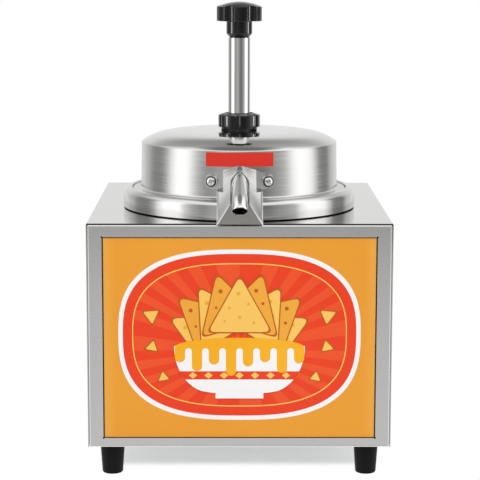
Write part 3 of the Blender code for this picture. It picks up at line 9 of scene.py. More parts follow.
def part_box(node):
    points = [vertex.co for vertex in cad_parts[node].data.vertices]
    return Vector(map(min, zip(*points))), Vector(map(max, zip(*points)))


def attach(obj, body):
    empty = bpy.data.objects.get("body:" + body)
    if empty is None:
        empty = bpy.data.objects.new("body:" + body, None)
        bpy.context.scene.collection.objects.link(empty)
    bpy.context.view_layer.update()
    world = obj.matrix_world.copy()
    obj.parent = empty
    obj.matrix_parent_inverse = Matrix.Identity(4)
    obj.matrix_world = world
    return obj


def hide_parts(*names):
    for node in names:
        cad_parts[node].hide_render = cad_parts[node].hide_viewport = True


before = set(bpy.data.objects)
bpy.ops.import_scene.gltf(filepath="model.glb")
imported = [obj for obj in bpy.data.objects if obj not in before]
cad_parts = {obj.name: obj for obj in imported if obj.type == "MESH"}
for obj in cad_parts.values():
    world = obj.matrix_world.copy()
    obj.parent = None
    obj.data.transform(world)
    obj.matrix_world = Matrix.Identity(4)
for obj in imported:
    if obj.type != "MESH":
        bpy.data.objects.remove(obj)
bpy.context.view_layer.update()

# Places taken from the frame
WRAP_LOW, WRAP_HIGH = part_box("cabinet_wrap")
COLLAR_LOW, COLLAR_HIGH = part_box("collar_ring")
LID_LOW, LID_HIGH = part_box("lid_shell")
NUT_LOW, NUT_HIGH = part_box("lock_nut")
TUBE_LOW, TUBE_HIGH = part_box("plunger_tube")
SIGN_LOW, SIGN_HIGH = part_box("sign_panel")
SPOUT_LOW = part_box("spout_tube")[0]
GASKET_LOW, GASKET_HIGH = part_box("collar_gasket")

FRONT_Y = WRAP_LOW.y
BACK_Y = WRAP_HIGH.y
BASE_Z = WRAP_LOW.z
TOP_Z = WRAP_HIGH.z
PUMP_Y = (COLLAR_LOW.y + COLLAR_HIGH.y) / 2
PUMP_AXIS = Vector((0, PUMP_Y, 0))

# Turning and edges
FINE = 160
MEDIUM = 96
COARSE = 48
SHARP_ANGLE = math.radians(32)
MOULDED_ANGLE = math.radians(50)
UPRIGHT = Matrix(((1, 0, 0, 0), (0, 0, 1, 0), (0, 1, 0, 0), (0, 0, 0, 1)))
SIDEWAYS = Matrix(((0, 0, 1, 0), (1, 0, 0, 0), (0, 1, 0, 0), (0, 0, 0, 1)))

# Collar
COLLAR_SHEET = 0.0008
COLLAR_WIDTH = 0.0077
COLLAR_SHOULDER = 0.0064
COLLAR_BEND = 0.0010
COLLAR_BORE_DROP = 0.0033
LEDGE_WIDTH = 0.0072
COLLAR_SEAL_WIDTH = 0.006
COLLAR_SEAL_ROUND = 0.0003
COLLAR_FOOT_DROP = 0.0005
SEAL_RECESS = 0.0010

# Lid
LID_SHEET = 0.0010
LID_WALL_RADIUS = 0.0863
LID_EDGE_RADIUS = 0.0856
LID_EDGE_Z = 0.2745
LID_FILLET = 0.0022
LID_EDGE_ROUND = 0.0009
LID_RISE = 0.0095
LID_DOME_POWER = 7
LID_HOLE_RADIUS = 0.0138
STRIP_WIDTH = 0.058
STRIP_HEIGHT = 0.0118
STRIP_RISE = 0.0440
STRIP_ROUND = 0.0008
STRIP_THICKNESS = 0.00015
STRIP_LIFT = 0.00002
STRIP_SPANS = 24
STRIP_ROUND_STEPS = 4


# Meshes

def finish_mesh(name, mesh_data, look, place=(0, 0, 0), angle=SHARP_ANGLE):
    bmesh.ops.recalc_face_normals(mesh_data, faces=mesh_data.faces)
    mesh = bpy.data.meshes.new(name)
    mesh_data.to_mesh(mesh)
    mesh_data.free()
    mesh.shade_smooth()
    mesh.set_sharp_from_angle(angle=angle)
    piece = bpy.data.objects.new(name, mesh)
    bpy.context.scene.collection.objects.link(piece)
    piece.location = place
    if look is not None:
        mesh.materials.append(look)
    return piece


def settle(piece, body, slot, *nodes):
    """Names the body and the CAD nodes that the piece stands for; the record's slot is not used."""
    if nodes:
        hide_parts(*nodes)
    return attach(piece, body)


def arc(centre, radius, start, stop, steps):
    points = []
    for step in range(steps + 1):
        angle = math.radians(start + (stop - start) * step / steps)
        points.append((centre[0] + radius * math.cos(angle), centre[1] + radius * math.sin(angle)))
    return points


def rectangle(left, right, low, high):
    return [(left, low), (right, low), (right, high), (left, high)]


def bridge(mesh_data, first, second):
    count = len(first)
    for index in range(count):
        after = (index + 1) % count
        mesh_data.faces.new((first[index], first[after], second[after], second[index]))


def bridge_band(mesh_data, loops):
    """Walls between four loops: the outer one near and far, the inner one near and far."""
    outer_near, outer_far, inner_near, inner_far = loops
    bridge(mesh_data, outer_near, outer_far)
    bridge(mesh_data, inner_near, inner_far)
    bridge(mesh_data, outer_near, inner_near)
    bridge(mesh_data, outer_far, inner_far)


def lathe(name, profile, look, steps, place=(0, 0, 0)):
    """A closed profile of (radius, height) turned round Z; a radius of zero is a pole."""
    mesh_data = bmesh.new()
    rings = []
    for radius, height in profile:
        if radius == 0:
            rings.append([mesh_data.verts.new((0, 0, height))])
            continue
        ring = []
        for step in range(steps):
            angle = 2 * math.pi * step / steps
            ring.append(mesh_data.verts.new((radius * math.cos(angle), radius * math.sin(angle),
                                             height)))
        rings.append(ring)
    for first, second in zip(rings, rings[1:] + rings[:1]):
        if len(first) == 1 and len(second) == 1:
            continue
        if len(first) == 1 or len(second) == 1:
            pole, ring = (first[0], second) if len(first) == 1 else (second[0], first)
            for index in range(steps):
                mesh_data.faces.new((pole, ring[index], ring[(index + 1) % steps]))
        else:
            bridge(mesh_data, first, second)
    return finish_mesh(name, mesh_data, look, place)


def prism(name, outline, low, high, look, place=None):
    """An outline in (x, y) carried from low to high along Z, then put in place by a matrix."""
    mesh_data = bmesh.new()
    near = [mesh_data.verts.new((x, y, low)) for x, y in outline]
    far = [mesh_data.verts.new((x, y, high)) for x, y in outline]
    mesh_data.faces.new(near)
    mesh_data.faces.new(far[::-1])
    bridge(mesh_data, near, far)
    if place is not None:
        bmesh.ops.transform(mesh_data, matrix=place, verts=mesh_data.verts)
    return finish_mesh(name, mesh_data, look)


def baked(piece):
    """The piece with its modifiers applied."""
    graph = bpy.context.evaluated_depsgraph_get()
    mesh = bpy.data.meshes.new_from_object(piece.evaluated_get(graph))
    piece.modifiers.clear()
    piece.data = mesh
    return piece


def cut_with(piece, *cutters):
    for cutter in cutters:
        modifier = piece.modifiers.new(cutter.name, "BOOLEAN")
        modifier.object = cutter
        modifier.operation = "DIFFERENCE"
        modifier.solver = "EXACT"
    bpy.context.view_layer.update()
    baked(piece)
    for cutter in cutters:
        bpy.data.objects.remove(cutter, do_unlink=True)
    piece.data.shade_smooth()
    piece.data.set_sharp_from_angle(angle=SHARP_ANGLE)
    return piece


def joined(name, pieces):
    """Several meshes as one piece."""
    mesh_data = bmesh.new()
    looks = []
    for piece in pieces:
        start = len(mesh_data.faces)
        piece.data.transform(piece.matrix_world)
        mesh_data.from_mesh(piece.data)
        mesh_data.faces.ensure_lookup_table()
        look = piece.data.materials[0]
        if look not in looks:
            looks.append(look)
        for face in mesh_data.faces[start:]:
            face.material_index = looks.index(look)
        bpy.data.objects.remove(piece, do_unlink=True)
    mesh = bpy.data.meshes.new(name)
    mesh_data.to_mesh(mesh)
    mesh_data.free()
    for look in looks:
        mesh.materials.append(look)
    mesh.shade_smooth()
    mesh.set_sharp_from_angle(angle=SHARP_ANGLE)
    piece = bpy.data.objects.new(name, mesh)
    bpy.context.scene.collection.objects.link(piece)
    return piece


# Materials

class Nodes:
    """Short words for the nodes of one material."""

    def __init__(self, name):
        self.look = bpy.data.materials.new(name)
        self.look.use_nodes = True
        self.tree = self.look.node_tree
        self.shader = self.tree.nodes["Principled BSDF"]

    def add(self, kind, **settings):
        node = self.tree.nodes.new(kind)
        for key, value in settings.items():
            setattr(node, key, value)
        return node

    def link(self, start, stop):
        self.tree.links.new(start, stop)

    def math(self, operation, first, second=None, third=None):
        node = self.add("ShaderNodeMath", operation=operation)
        for index, value in enumerate((first, second, third)):
            if value is None:
                continue
            if isinstance(value, (int, float)):
                node.inputs[index].default_value = value
            else:
                self.link(value, node.inputs[index])
        return node.outputs[0]

    def noise(self, vector, scale, detail=3.0, rough=0.5):
        node = self.add("ShaderNodeTexNoise")
        node.inputs["Scale"].default_value = scale
        node.inputs["Detail"].default_value = detail
        node.inputs["Roughness"].default_value = rough
        self.link(vector, node.inputs["Vector"])
        return node.outputs["Fac"]

    def between(self, value, low, high):
        """Maps a noise, which keeps mostly to 0.3 to 0.7, to the range low to high."""
        node = self.add("ShaderNodeMapRange")
        node.inputs["From Min"].default_value = 0.3
        node.inputs["From Max"].default_value = 0.7
        node.inputs["To Min"].default_value = low
        node.inputs["To Max"].default_value = high
        self.link(value, node.inputs["Value"])
        return node.outputs["Result"]

    def place(self):
        return self.add("ShaderNodeTexCoord").outputs["Object"]

    def stretched(self, scale):
        mapping = self.add("ShaderNodeMapping")
        mapping.inputs["Scale"].default_value = scale
        self.link(self.place(), mapping.inputs["Vector"])
        return mapping.outputs["Vector"]

    def round_axis(self, along, across):
        """Place as (turn, radius, height), so that a grain runs round the piece's own Z axis."""
        split = self.add("ShaderNodeSeparateXYZ")
        self.link(self.place(), split.inputs["Vector"])
        x, y, z = split.outputs
        turn = self.math("ARCTAN2", y, x)
        radius = self.math("SQRT", self.math("ADD", self.math("MULTIPLY", x, x),
                                             self.math("MULTIPLY", y, y)))
        merge = self.add("ShaderNodeCombineXYZ")
        self.link(self.math("MULTIPLY", turn, along), merge.inputs[0])
        self.link(self.math("MULTIPLY", radius, across), merge.inputs[1])
        self.link(self.math("MULTIPLY", z, across), merge.inputs[2])
        return merge.outputs["Vector"]

    def tint(self, factor, first, second):
        mix = self.add("ShaderNodeMix", data_type="RGBA")
        self.link(factor, mix.inputs["Factor"])
        mix.inputs["A"].default_value = (*first, 1)
        mix.inputs["B"].default_value = (*second, 1)
        return mix.outputs["Result"]

    def over(self, factor, tone, colour):
        """A fixed colour laid over a tone by a factor."""
        mix = self.add("ShaderNodeMix", data_type="RGBA")
        self.link(factor, mix.inputs["Factor"])
        self.link(tone, mix.inputs["A"])
        mix.inputs["B"].default_value = (*colour, 1)
        return mix.outputs["Result"]

    def bump(self, height, distance, strength=1.0):
        node = self.add("ShaderNodeBump")
        node.inputs["Strength"].default_value = strength
        node.inputs["Distance"].default_value = distance
        self.link(height, node.inputs["Height"])
        self.link(node.outputs["Normal"], self.shader.inputs["Normal"])

    def set(self, **values):
        for key, value in values.items():
            self.shader.inputs[key.replace("_", " ")].default_value = value


def shade(colour, factor):
    return tuple(min(1.0, channel * factor) for channel in colour)


def steel(name, colour, rough, grain, spread=0.05, depth=0.000004, aniso=0.0, cut_at=None):
    """Stainless steel: grain is a stretch for a straight grain, or None for a grain turned round Z;
    beyond cut_at, front and back, the sheet's cut edge is painted with shade, darkest along the top."""
    make = Nodes(name)
    vector = make.round_axis(0.35, 900) if grain is None else make.stretched(grain)
    streaks = make.noise(vector, 1.0, 4.0, 0.6)
    cloud = make.noise(make.place(), 14.0, 3.0)
    rough_noise = make.math("ADD", make.between(streaks, -spread, spread),
                            make.between(cloud, rough - spread / 3, rough + spread / 3))
    make.link(rough_noise, make.shader.inputs["Roughness"])
    tone = make.tint(make.between(streaks, 0.0, 1.0), shade(colour, 1 - spread),
                     shade(colour, 1 + spread))
    # Painted shade: the cut edge's colour is darkened, fully along the top and partly down the sides
    if cut_at is not None:
        split = make.add("ShaderNodeSeparateXYZ")
        make.link(make.place(), split.inputs["Vector"])
        edge_shade = make.math("GREATER_THAN", make.math("ABSOLUTE", split.outputs[1]), cut_at)
        upper = make.math("GREATER_THAN", split.outputs[2], TOP_Z - CUT_EDGE_TOP)
        share = make.math("MULTIPLY_ADD", upper, 1 - SIDE_PAINTED_SHADE_SHARE, SIDE_PAINTED_SHADE_SHARE)
        edge_shade = make.math("MULTIPLY", edge_shade, share)
        tone = make.over(edge_shade, tone, shade(colour, CUT_EDGE_PAINTED_SHADE))
    make.link(tone, make.shader.inputs["Base Color"])
    make.set(Metallic=1.0)
    if aniso:
        tangent = make.add("ShaderNodeTangent", direction_type="RADIAL", axis="Z")
        make.link(tangent.outputs["Tangent"], make.shader.inputs["Tangent"])
        make.set(Anisotropic=aniso)
    make.bump(streaks, depth)
    return make.look


def plastic(name, colour, rough, grain_scale, depth, coat=0.0, sheen_colour=1.25, gloss=0.5):
    """Moulded plastic or rubber with a fine skin and faint handling marks."""
    make = Nodes(name)
    place = make.place()
    skin = make.noise(place, grain_scale, 3.0, 0.6)
    cloud = make.noise(place, 45.0, 4.0)
    make.link(make.between(cloud, rough * 0.85, rough * 1.2), make.shader.inputs["Roughness"])
    tone = make.tint(make.between(cloud, 0.0, 1.0), shade(colour, 0.85), shade(colour, sheen_colour))
    make.link(tone, make.shader.inputs["Base Color"])
    make.set(Coat_Weight=coat, Coat_Roughness=0.08, Specular_IOR_Level=gloss)
    make.bump(skin, depth)
    return make.look


def print_ink(name, colour, other, rough=0.34, edge=None):
    """Printed sheet: two near tones in soft patches, and painted light as a lighter tone towards its
    left and right edges.
    """
    make = Nodes(name)
    place = make.place()
    cloud = make.noise(place, 9.0, 2.0)
    screen = make.noise(place, 2600.0, 1.0)
    tone = make.tint(make.between(cloud, 0.0, 1.0), colour, other)
    # Painted light: the tone grows lighter towards the sheet's left and right edges, as if lit from
    # the sides
    if edge is not None:
        split = make.add("ShaderNodeSeparateXYZ")
        make.link(place, split.inputs["Vector"])
        near = make.add("ShaderNodeMapRange", interpolation_type="SMOOTHSTEP")
        make.link(make.math("ABSOLUTE", split.outputs[0]), near.inputs["Value"])
        near.inputs["From Min"].default_value = SIGN_HIGH.x * SIGN_SIDE_LIGHT_SHARE
        near.inputs["From Max"].default_value = SIGN_HIGH.x
        tone = make.over(near.outputs["Result"], tone, edge)
    make.link(tone, make.shader.inputs["Base Color"])
    make.link(make.between(screen, rough - 0.04, rough + 0.04), make.shader.inputs["Roughness"])
    make.set(Specular_IOR_Level=0.22)
    make.bump(screen, 0.000002)
    return make.look


STEEL = (0.66, 0.655, 0.645)
BRIGHT_STEEL = (0.76, 0.755, 0.745)
FRAME_STEEL = (0.53, 0.525, 0.515)
# Painted shade on the wrap's cut edge: how dark it is, how deep it reaches, the height of its top
# band and its share down the sides
CUT_EDGE_PAINTED_SHADE = 0.10
CUT_EDGE_DEPTH = 0.0003
CUT_EDGE_TOP = 0.0015
SIDE_PAINTED_SHADE_SHARE = 0.45
# Share of the sign's half width at which its painted light from the sides begins
SIGN_SIDE_LIGHT_SHARE = 0.86
LOOKS = {
    # The wrap's steel carries painted shade along its cut edge
    "wrap_steel": steel("wrap_steel", STEEL, 0.15, (18, 2600, 18), 0.03,
                        cut_at=BACK_Y - CUT_EDGE_DEPTH),
    "frame_steel": steel("frame_steel", FRAME_STEEL, 0.28, (5, 5, 1500), 0.025, 0.000001),
    "rear_steel": steel("rear_steel", STEEL, 0.28, (5, 5, 1500), 0.025, 0.000001),
    "collar_steel": steel("collar_steel", STEEL, 0.15, None, 0.03, aniso=0.3),
    "lid_steel": steel("lid_steel", STEEL, 0.20, None, 0.05, aniso=0.45),
    "dome_steel": steel("dome_steel", STEEL, 0.09, None, 0.025, 0.000001),
    "guard_steel": steel("guard_steel", BRIGHT_STEEL, 0.16, (900, 900, 30), 0.03, 0.0000008),
    # A darker copy of the guard's steel for its end plate: painted shade
    "plate_shaded_steel": steel("plate_shaded_steel", (0.37, 0.355, 0.34), 0.32, (900, 900, 30), 0.03,
                         0.0000008),
    "pot_steel": steel("pot_steel", STEEL, 0.24, None, 0.05),
    "tube_steel": steel("tube_steel", BRIGHT_STEEL, 0.07, (400, 400, 12), 0.02, 0.000001),
    "pump_steel": steel("pump_steel", BRIGHT_STEEL, 0.22, None, 0.05),
    "screw_steel": steel("screw_steel", BRIGHT_STEEL, 0.14, (900, 900, 900), 0.03),
    "zinc_steel": steel("zinc_steel", (0.52, 0.53, 0.54), 0.42, (60, 60, 60), 0.08),
    "heater_sheath": steel("heater_sheath", (0.16, 0.15, 0.14), 0.5, (120, 120, 120), 0.1),
    "knob_plastic": plastic("knob_plastic", (0.004, 0.004, 0.004), 0.10, 900, 0.000001),
    "control_plastic": plastic("control_plastic", (0.012, 0.012, 0.013), 0.38, 2400, 0.000006),
    "foot_rubber": plastic("foot_rubber", (0.003, 0.003, 0.003), 0.5, 1500, 0.000008, gloss=0.15),
    "gasket_rubber": plastic("gasket_rubber", (0.004, 0.004, 0.004), 0.6, 1500, 0.000008,
                             gloss=0.2),
    "seal_rubber": plastic("seal_rubber", (0.55, 0.54, 0.50), 0.5, 1200, 0.00001),
    "white_resin": plastic("white_resin", (0.70, 0.69, 0.65), 0.42, 1400, 0.00001, 0.1, 1.05),
    "jacket_blanket": plastic("jacket_blanket", (0.75, 0.72, 0.62), 0.95, 320, 0.0004, 0.0, 1.1),
    # The sign's edge tone is painted light from the sides
    "sign_print": print_ink("sign_print", (0.79, 0.320, 0.030), (0.82, 0.345, 0.036),
                            edge=(0.85, 0.42, 0.075)),
    "sign_red": print_ink("sign_red", (0.79, 0.048, 0.012), (0.82, 0.058, 0.016)),
    "sign_ray": print_ink("sign_ray", (0.82, 0.082, 0.020), (0.84, 0.092, 0.024)),
    "sign_cream": print_ink("sign_cream", (0.88, 0.88, 0.88), (0.91, 0.91, 0.91)),
    "sign_chip": print_ink("sign_chip", (0.90, 0.52, 0.100), (0.93, 0.58, 0.130)),
    "sign_toast": print_ink("sign_toast", (0.82, 0.36, 0.040), (0.85, 0.40, 0.050)),
    "sign_line": print_ink("sign_line", (0.46, 0.095, 0.010), (0.50, 0.110, 0.012)),
    "sign_cheese": print_ink("sign_cheese", (0.88, 0.40, 0.012), (0.91, 0.45, 0.018)),
    "strip_red": print_ink("strip_red", (0.66, 0.032, 0.020), (0.70, 0.040, 0.025)),
    "mark_white": print_ink("mark_white", (0.80, 0.80, 0.78), (0.84, 0.84, 0.82), 0.5),
    "mark_black": print_ink("mark_black", (0.020, 0.020, 0.020), (0.026, 0.026, 0.026), 0.5),
}


def make_glass(name, colour, rough, transmission):
    make = Nodes(name)
    cloud = make.noise(make.place(), 60.0)
    make.link(make.between(cloud, rough * 0.9, rough * 1.1), make.shader.inputs["Roughness"])
    tone = make.tint(cloud, shade(colour, 0.95), colour)
    make.link(tone, make.shader.inputs["Base Color"])
    make.set(Transmission_Weight=transmission)
    return make.look


LOOKS["lamp_glass"] = make_glass("lamp_glass", (0.90, 0.90, 0.88), 0.35, 0.4)
LOOKS["pilot_lens"] = make_glass("pilot_lens", (0.70, 0.025, 0.010), 0.10, 0.35)


# Collar and its seal

def build_collar():
    radius = COLLAR_HIGH.x
    top = COLLAR_HIGH.z
    foot = COLLAR_LOW.z - COLLAR_FOOT_DROP
    mouth = radius - COLLAR_WIDTH
    ledge = top - COLLAR_BORE_DROP
    shoulder = (radius - COLLAR_SHOULDER, top - COLLAR_SHOULDER)
    bend = (mouth + COLLAR_BEND, top - COLLAR_BEND)
    profile = [(radius, foot)]
    profile += arc(shoulder, COLLAR_SHOULDER, 0, 90, 14)
    profile += arc(bend, COLLAR_BEND, 90, 180, 6)
    profile += [
        (mouth, ledge),
        (mouth - LEDGE_WIDTH, ledge),
        (mouth - LEDGE_WIDTH, ledge - COLLAR_SHEET),
        (mouth + COLLAR_SHEET, ledge - COLLAR_SHEET),
    ]
    profile += arc(bend, COLLAR_BEND - COLLAR_SHEET, 180, 90, 3)
    profile += arc(shoulder, COLLAR_SHOULDER - COLLAR_SHEET, 90, 0, 10)
    profile += [(radius - COLLAR_SHEET, foot)]
    collar = lathe("collar", profile, LOOKS["collar_steel"], FINE, PUMP_AXIS)
    settle(collar, "cabinet", "collar_steel", "collar_ring")

    outer = GASKET_HIGH.x - SEAL_RECESS
    inner = outer - COLLAR_SEAL_WIDTH
    round_off = COLLAR_SEAL_ROUND
    ring = [(inner, GASKET_LOW.z)]
    ring += arc((outer - round_off, GASKET_LOW.z + round_off), round_off, 270, 360, 3)
    ring += arc((outer - round_off, GASKET_HIGH.z - round_off), round_off, 0, 90, 3)
    ring += [(inner, GASKET_HIGH.z)]
    seal = lathe("collar_seal", ring, LOOKS["gasket_rubber"], FINE, PUMP_AXIS)
    settle(seal, "cabinet", "gasket_rubber", "collar_gasket")


# Lid

def dome_height(radius):
    return LID_EDGE_Z + LID_RISE * (1 - (radius / LID_EDGE_RADIUS) ** LID_DOME_POWER)


def build_lid():
    rim = LID_HIGH.x
    low = LID_LOW.z
    top = low + LID_SHEET
    half = LID_SHEET / 2
    fillet = (LID_WALL_RADIUS + LID_FILLET, top + LID_FILLET)
    profile = arc((rim - half, low + half), half, -90, 90, 6)
    profile += arc(fillet, LID_FILLET, 270, 180, 6)
    profile += [(LID_EDGE_RADIUS, LID_EDGE_Z - LID_EDGE_ROUND)]
    shares = [1 - 0.045 * index for index in range(12)] + [0.40, 0.28]
    profile += [((LID_EDGE_RADIUS - LID_EDGE_ROUND / 2) * share,
                 dome_height(LID_EDGE_RADIUS * share)) for share in shares]
    profile += [(LID_HOLE_RADIUS, dome_height(LID_HOLE_RADIUS))]
    under = [0.28, 0.40] + [1 - 0.09 * index for index in range(6)][::-1]
    profile += [(LID_HOLE_RADIUS, dome_height(LID_HOLE_RADIUS) - LID_SHEET)]
    profile += [((LID_EDGE_RADIUS - LID_SHEET) * share,
                 dome_height((LID_EDGE_RADIUS - LID_SHEET) * share) - LID_SHEET)
                for share in under]
    profile += [(LID_WALL_RADIUS - LID_SHEET, low)]
    lid = lathe("lid", profile, LOOKS["lid_steel"], FINE, PUMP_AXIS)
    hole = spout_bar("lid_spout_cut", SPOUT_RADIUS + SPOUT_PLAY)
    hole.location = -PUMP_AXIS + lid.location
    cut_with(lid, hole)
    lid.data.materials.append(LOOKS["dome_steel"])
    for face in lid.data.polygons:
        if face.center.z > LID_EDGE_Z - LID_EDGE_ROUND and face.normal.z > 0.5:
            face.material_index = 1
    settle(lid, "lid", "lid_steel", "lid_shell")


def build_strip():
    """A thin patch on the lid's wall, in columns that follow its curve."""
    top = LID_LOW.z + LID_SHEET
    half_width = STRIP_WIDTH / 2 - STRIP_ROUND
    half_height = STRIP_HEIGHT / 2 - STRIP_ROUND
    middle = [(half_width - 2 * half_width * step / STRIP_SPANS, STRIP_HEIGHT / 2)
              for step in range(1, STRIP_SPANS)]
    upper = arc((half_width, half_height), STRIP_ROUND, 0, 90, STRIP_ROUND_STEPS)
    upper += middle
    upper += arc((-half_width, half_height), STRIP_ROUND, 90, 180, STRIP_ROUND_STEPS)
    mesh_data = bmesh.new()
    centre_z = TOP_Z + STRIP_RISE + STRIP_HEIGHT / 2
    rings = []
    for offset in (STRIP_LIFT, STRIP_THICKNESS):
        columns = []
        for x, z in upper:
            angle = x / LID_WALL_RADIUS
            pair = []
            for height in (centre_z + z, centre_z - z):
                share = (height - top) / (LID_EDGE_Z - top)
                radius = LID_WALL_RADIUS + (LID_EDGE_RADIUS - LID_WALL_RADIUS) * share + offset
                pair.append(mesh_data.verts.new((radius * math.sin(angle),
                                                 -radius * math.cos(angle), height)))
            columns.append(pair)
        rings.append(columns)
    inner, outer = rings
    for columns in rings:
        for first, second in zip(columns, columns[1:]):
            mesh_data.faces.new((first[0], first[1], second[1], second[0]))
    for side in (0, 1):
        for index in range(len(inner) - 1):
            mesh_data.faces.new((inner[index][side], inner[index + 1][side],
                                 outer[index + 1][side], outer[index][side]))
    for index in (0, -1):
        mesh_data.faces.new((inner[index][0], inner[index][1], outer[index][1], outer[index][0]))
    strip = finish_mesh("lid_strip", mesh_data, LOOKS["strip_red"], PUMP_AXIS)
    strip.visible_glossy = False
    settle(strip, "lid", "sign_print")


# Spout tube

SPOUT_RADIUS = 0.0070
SPOUT_BORE = 0.00625
SPOUT_PLAY = 0.0004
RISER_Y = PUMP_Y - 0.031
RISER_BEND = 0.018
SPOUT_SLOPE = math.radians(26)
MOUTH_SLOPE = math.radians(58)
MOUTH_BEND = 0.022
MOUTH_Y = FRONT_Y - 0.0140
MOUTH_Z = TOP_Z + 0.0124
SPOUT_SIDES = 48
BEND_STEPS = 18
SPOUT_LIP = 0.0004
SPOUT_LIP_DRAW = 0.6


def bend(start, heading, turn, radius, steps):
    side = math.copysign(1, turn)
    centre_y = start[0] - side * radius * math.sin(heading)
    centre_z = start[1] + side * radius * math.cos(heading)
    points = []
    for step in range(1, steps + 1):
        angle = heading + turn * step / steps
        points.append((centre_y + side * radius * math.sin(angle),
                       centre_z - side * radius * math.cos(angle)))
    return points


def spout_bend():
    """Place as (y, z) at which the tube begins to bend down to its mouth."""
    return (MOUTH_Y + MOUTH_BEND * (math.sin(MOUTH_SLOPE) - math.sin(SPOUT_SLOPE)),
            MOUTH_Z + MOUTH_BEND * (math.cos(SPOUT_SLOPE) - math.cos(MOUTH_SLOPE)))


def spout_height(y):
    """Height of the tube's centre line on its straight sloping stretch."""
    start_y, start_z = spout_bend()
    return start_z + math.tan(SPOUT_SLOPE) * (y - start_y)


def spout_path():
    start_y, start_z = spout_bend()
    top_turn = math.pi / 2 + SPOUT_SLOPE
    bend_y = RISER_Y - RISER_BEND + RISER_BEND * math.cos(top_turn)
    bend_z = spout_height(bend_y)
    top_start = (RISER_Y, bend_z - RISER_BEND * math.sin(top_turn))
    path = [(RISER_Y, SPOUT_LOW.z), top_start]
    path += bend(top_start, math.pi / 2, top_turn, RISER_BEND, BEND_STEPS)
    path.append((start_y, start_z))
    path += bend((start_y, start_z), math.pi + SPOUT_SLOPE, MOUTH_SLOPE - SPOUT_SLOPE, MOUTH_BEND,
                 BEND_STEPS // 2)
    return path


def rings_along(mesh_data, path, radii):
    last = len(path) - 1
    rings = []
    for index, (y, z) in enumerate(path):
        here = Vector((y, z))
        heading = Vector((0, 0))
        if index > 0:
            heading += (here - Vector(path[index - 1])).normalized()
        if index < last:
            heading += (Vector(path[index + 1]) - here).normalized()
        heading.normalize()
        upward = Vector((0, -heading.y, heading.x))
        circle = arc((0, 0), radii[index], 0, 360, SPOUT_SIDES)[:-1]
        rings.append([mesh_data.verts.new(Vector((u, y, z)) + v * upward) for u, v in circle])
    return rings


def spout_bar(name, radius):
    """A solid bar along the spout, for cutting its way out."""
    path = spout_path()[1:]
    mesh_data = bmesh.new()
    rings = rings_along(mesh_data, path, [radius] * len(path))
    for first, second in zip(rings, rings[1:]):
        bridge(mesh_data, first, second)
    mesh_data.faces.new(rings[0])
    mesh_data.faces.new(rings[-1][::-1])
    return finish_mesh(name, mesh_data, None)


def build_spout():
    path = spout_path()
    heading = Vector((-math.cos(MOUTH_SLOPE), -math.sin(MOUTH_SLOPE)))
    outer_path = path[:-1] + [tuple(Vector(path[-1]) - heading * SPOUT_LIP), path[-1]]
    outer_radii = [SPOUT_RADIUS] * (len(path)) + [SPOUT_RADIUS - SPOUT_LIP * SPOUT_LIP_DRAW]
    mesh_data = bmesh.new()
    outer = rings_along(mesh_data, outer_path, outer_radii)
    inner = rings_along(mesh_data, path, [SPOUT_BORE] * len(path))
    for rings in (outer, inner):
        for first, second in zip(rings, rings[1:]):
            bridge(mesh_data, first, second)
    bridge(mesh_data, outer[0], inner[0])
    bridge(mesh_data, outer[-1], inner[-1])
    spout = finish_mesh("spout", mesh_data, LOOKS["tube_steel"])
    settle(spout, "lid", "tube_steel", "spout_tube")


# Guard over the spout: a folded sheet with a slot for the tube, an end plate and two ears

GUARD_SHEET = 0.0009
GUARD_HALF_WIDTH = 0.0192
GUARD_CREST = SPOUT_RADIUS + 0.0014
GUARD_FRONT_Y = FRONT_Y - 0.0105
GUARD_FRONT_Z = TOP_Z + 0.0152
GUARD_FOOT_Z = TOP_Z + 0.0006
GUARD_SHOULDER_Z = TOP_Z + 0.0400
GUARD_FOLD = 0.0034
GUARD_FOLD_SHARE = 0.8
GUARD_LENGTH_STEPS = 20
GUARD_CREST_STEPS = 10
GUARD_FOLD_STEPS = 8
GUARD_SLOT_HALF = SPOUT_RADIUS + 0.0009
GUARD_SLOT_SET = 0.0078
GUARD_CLEARANCE = 0.0008
PLATE_INSET = 0.0018
EAR_RADIUS = 0.0064
EAR_OFFSET = 0.0235
EAR_ANGLE = math.asin(EAR_OFFSET / LID_WALL_RADIUS)
EAR_Z = TOP_Z + 0.0314
EAR_FACE_RADIUS = 0.0872
EAR_ROOT_OFFSET = 0.0138
EAR_ROOT_RISE = 0.0100
EAR_HOLE_RADIUS = 0.0023
SCREW_HEAD_RADIUS = 0.0038
SCREW_HEAD_HEIGHT = 0.0028
SCREW_SHANK = 0.0085
SCREW_RING_RADIUS = 0.0045
WASHER_RADIUS = 0.0060
WASHER_HEIGHT = 0.0009
WASHER_EASE = 0.0003


def ear_place(side, distance):
    """Frame whose Z axis points out of the lid's wall at one of the two screws."""
    angle = side * EAR_ANGLE
    out = Vector((math.sin(angle), -math.cos(angle), 0))
    across = Vector((math.cos(angle), math.sin(angle), 0))
    turn = Matrix((across, Vector((0, 0, 1)), out)).transposed().to_4x4()
    return Matrix.Translation(out * distance + Vector((0, PUMP_Y, EAR_Z))) @ turn


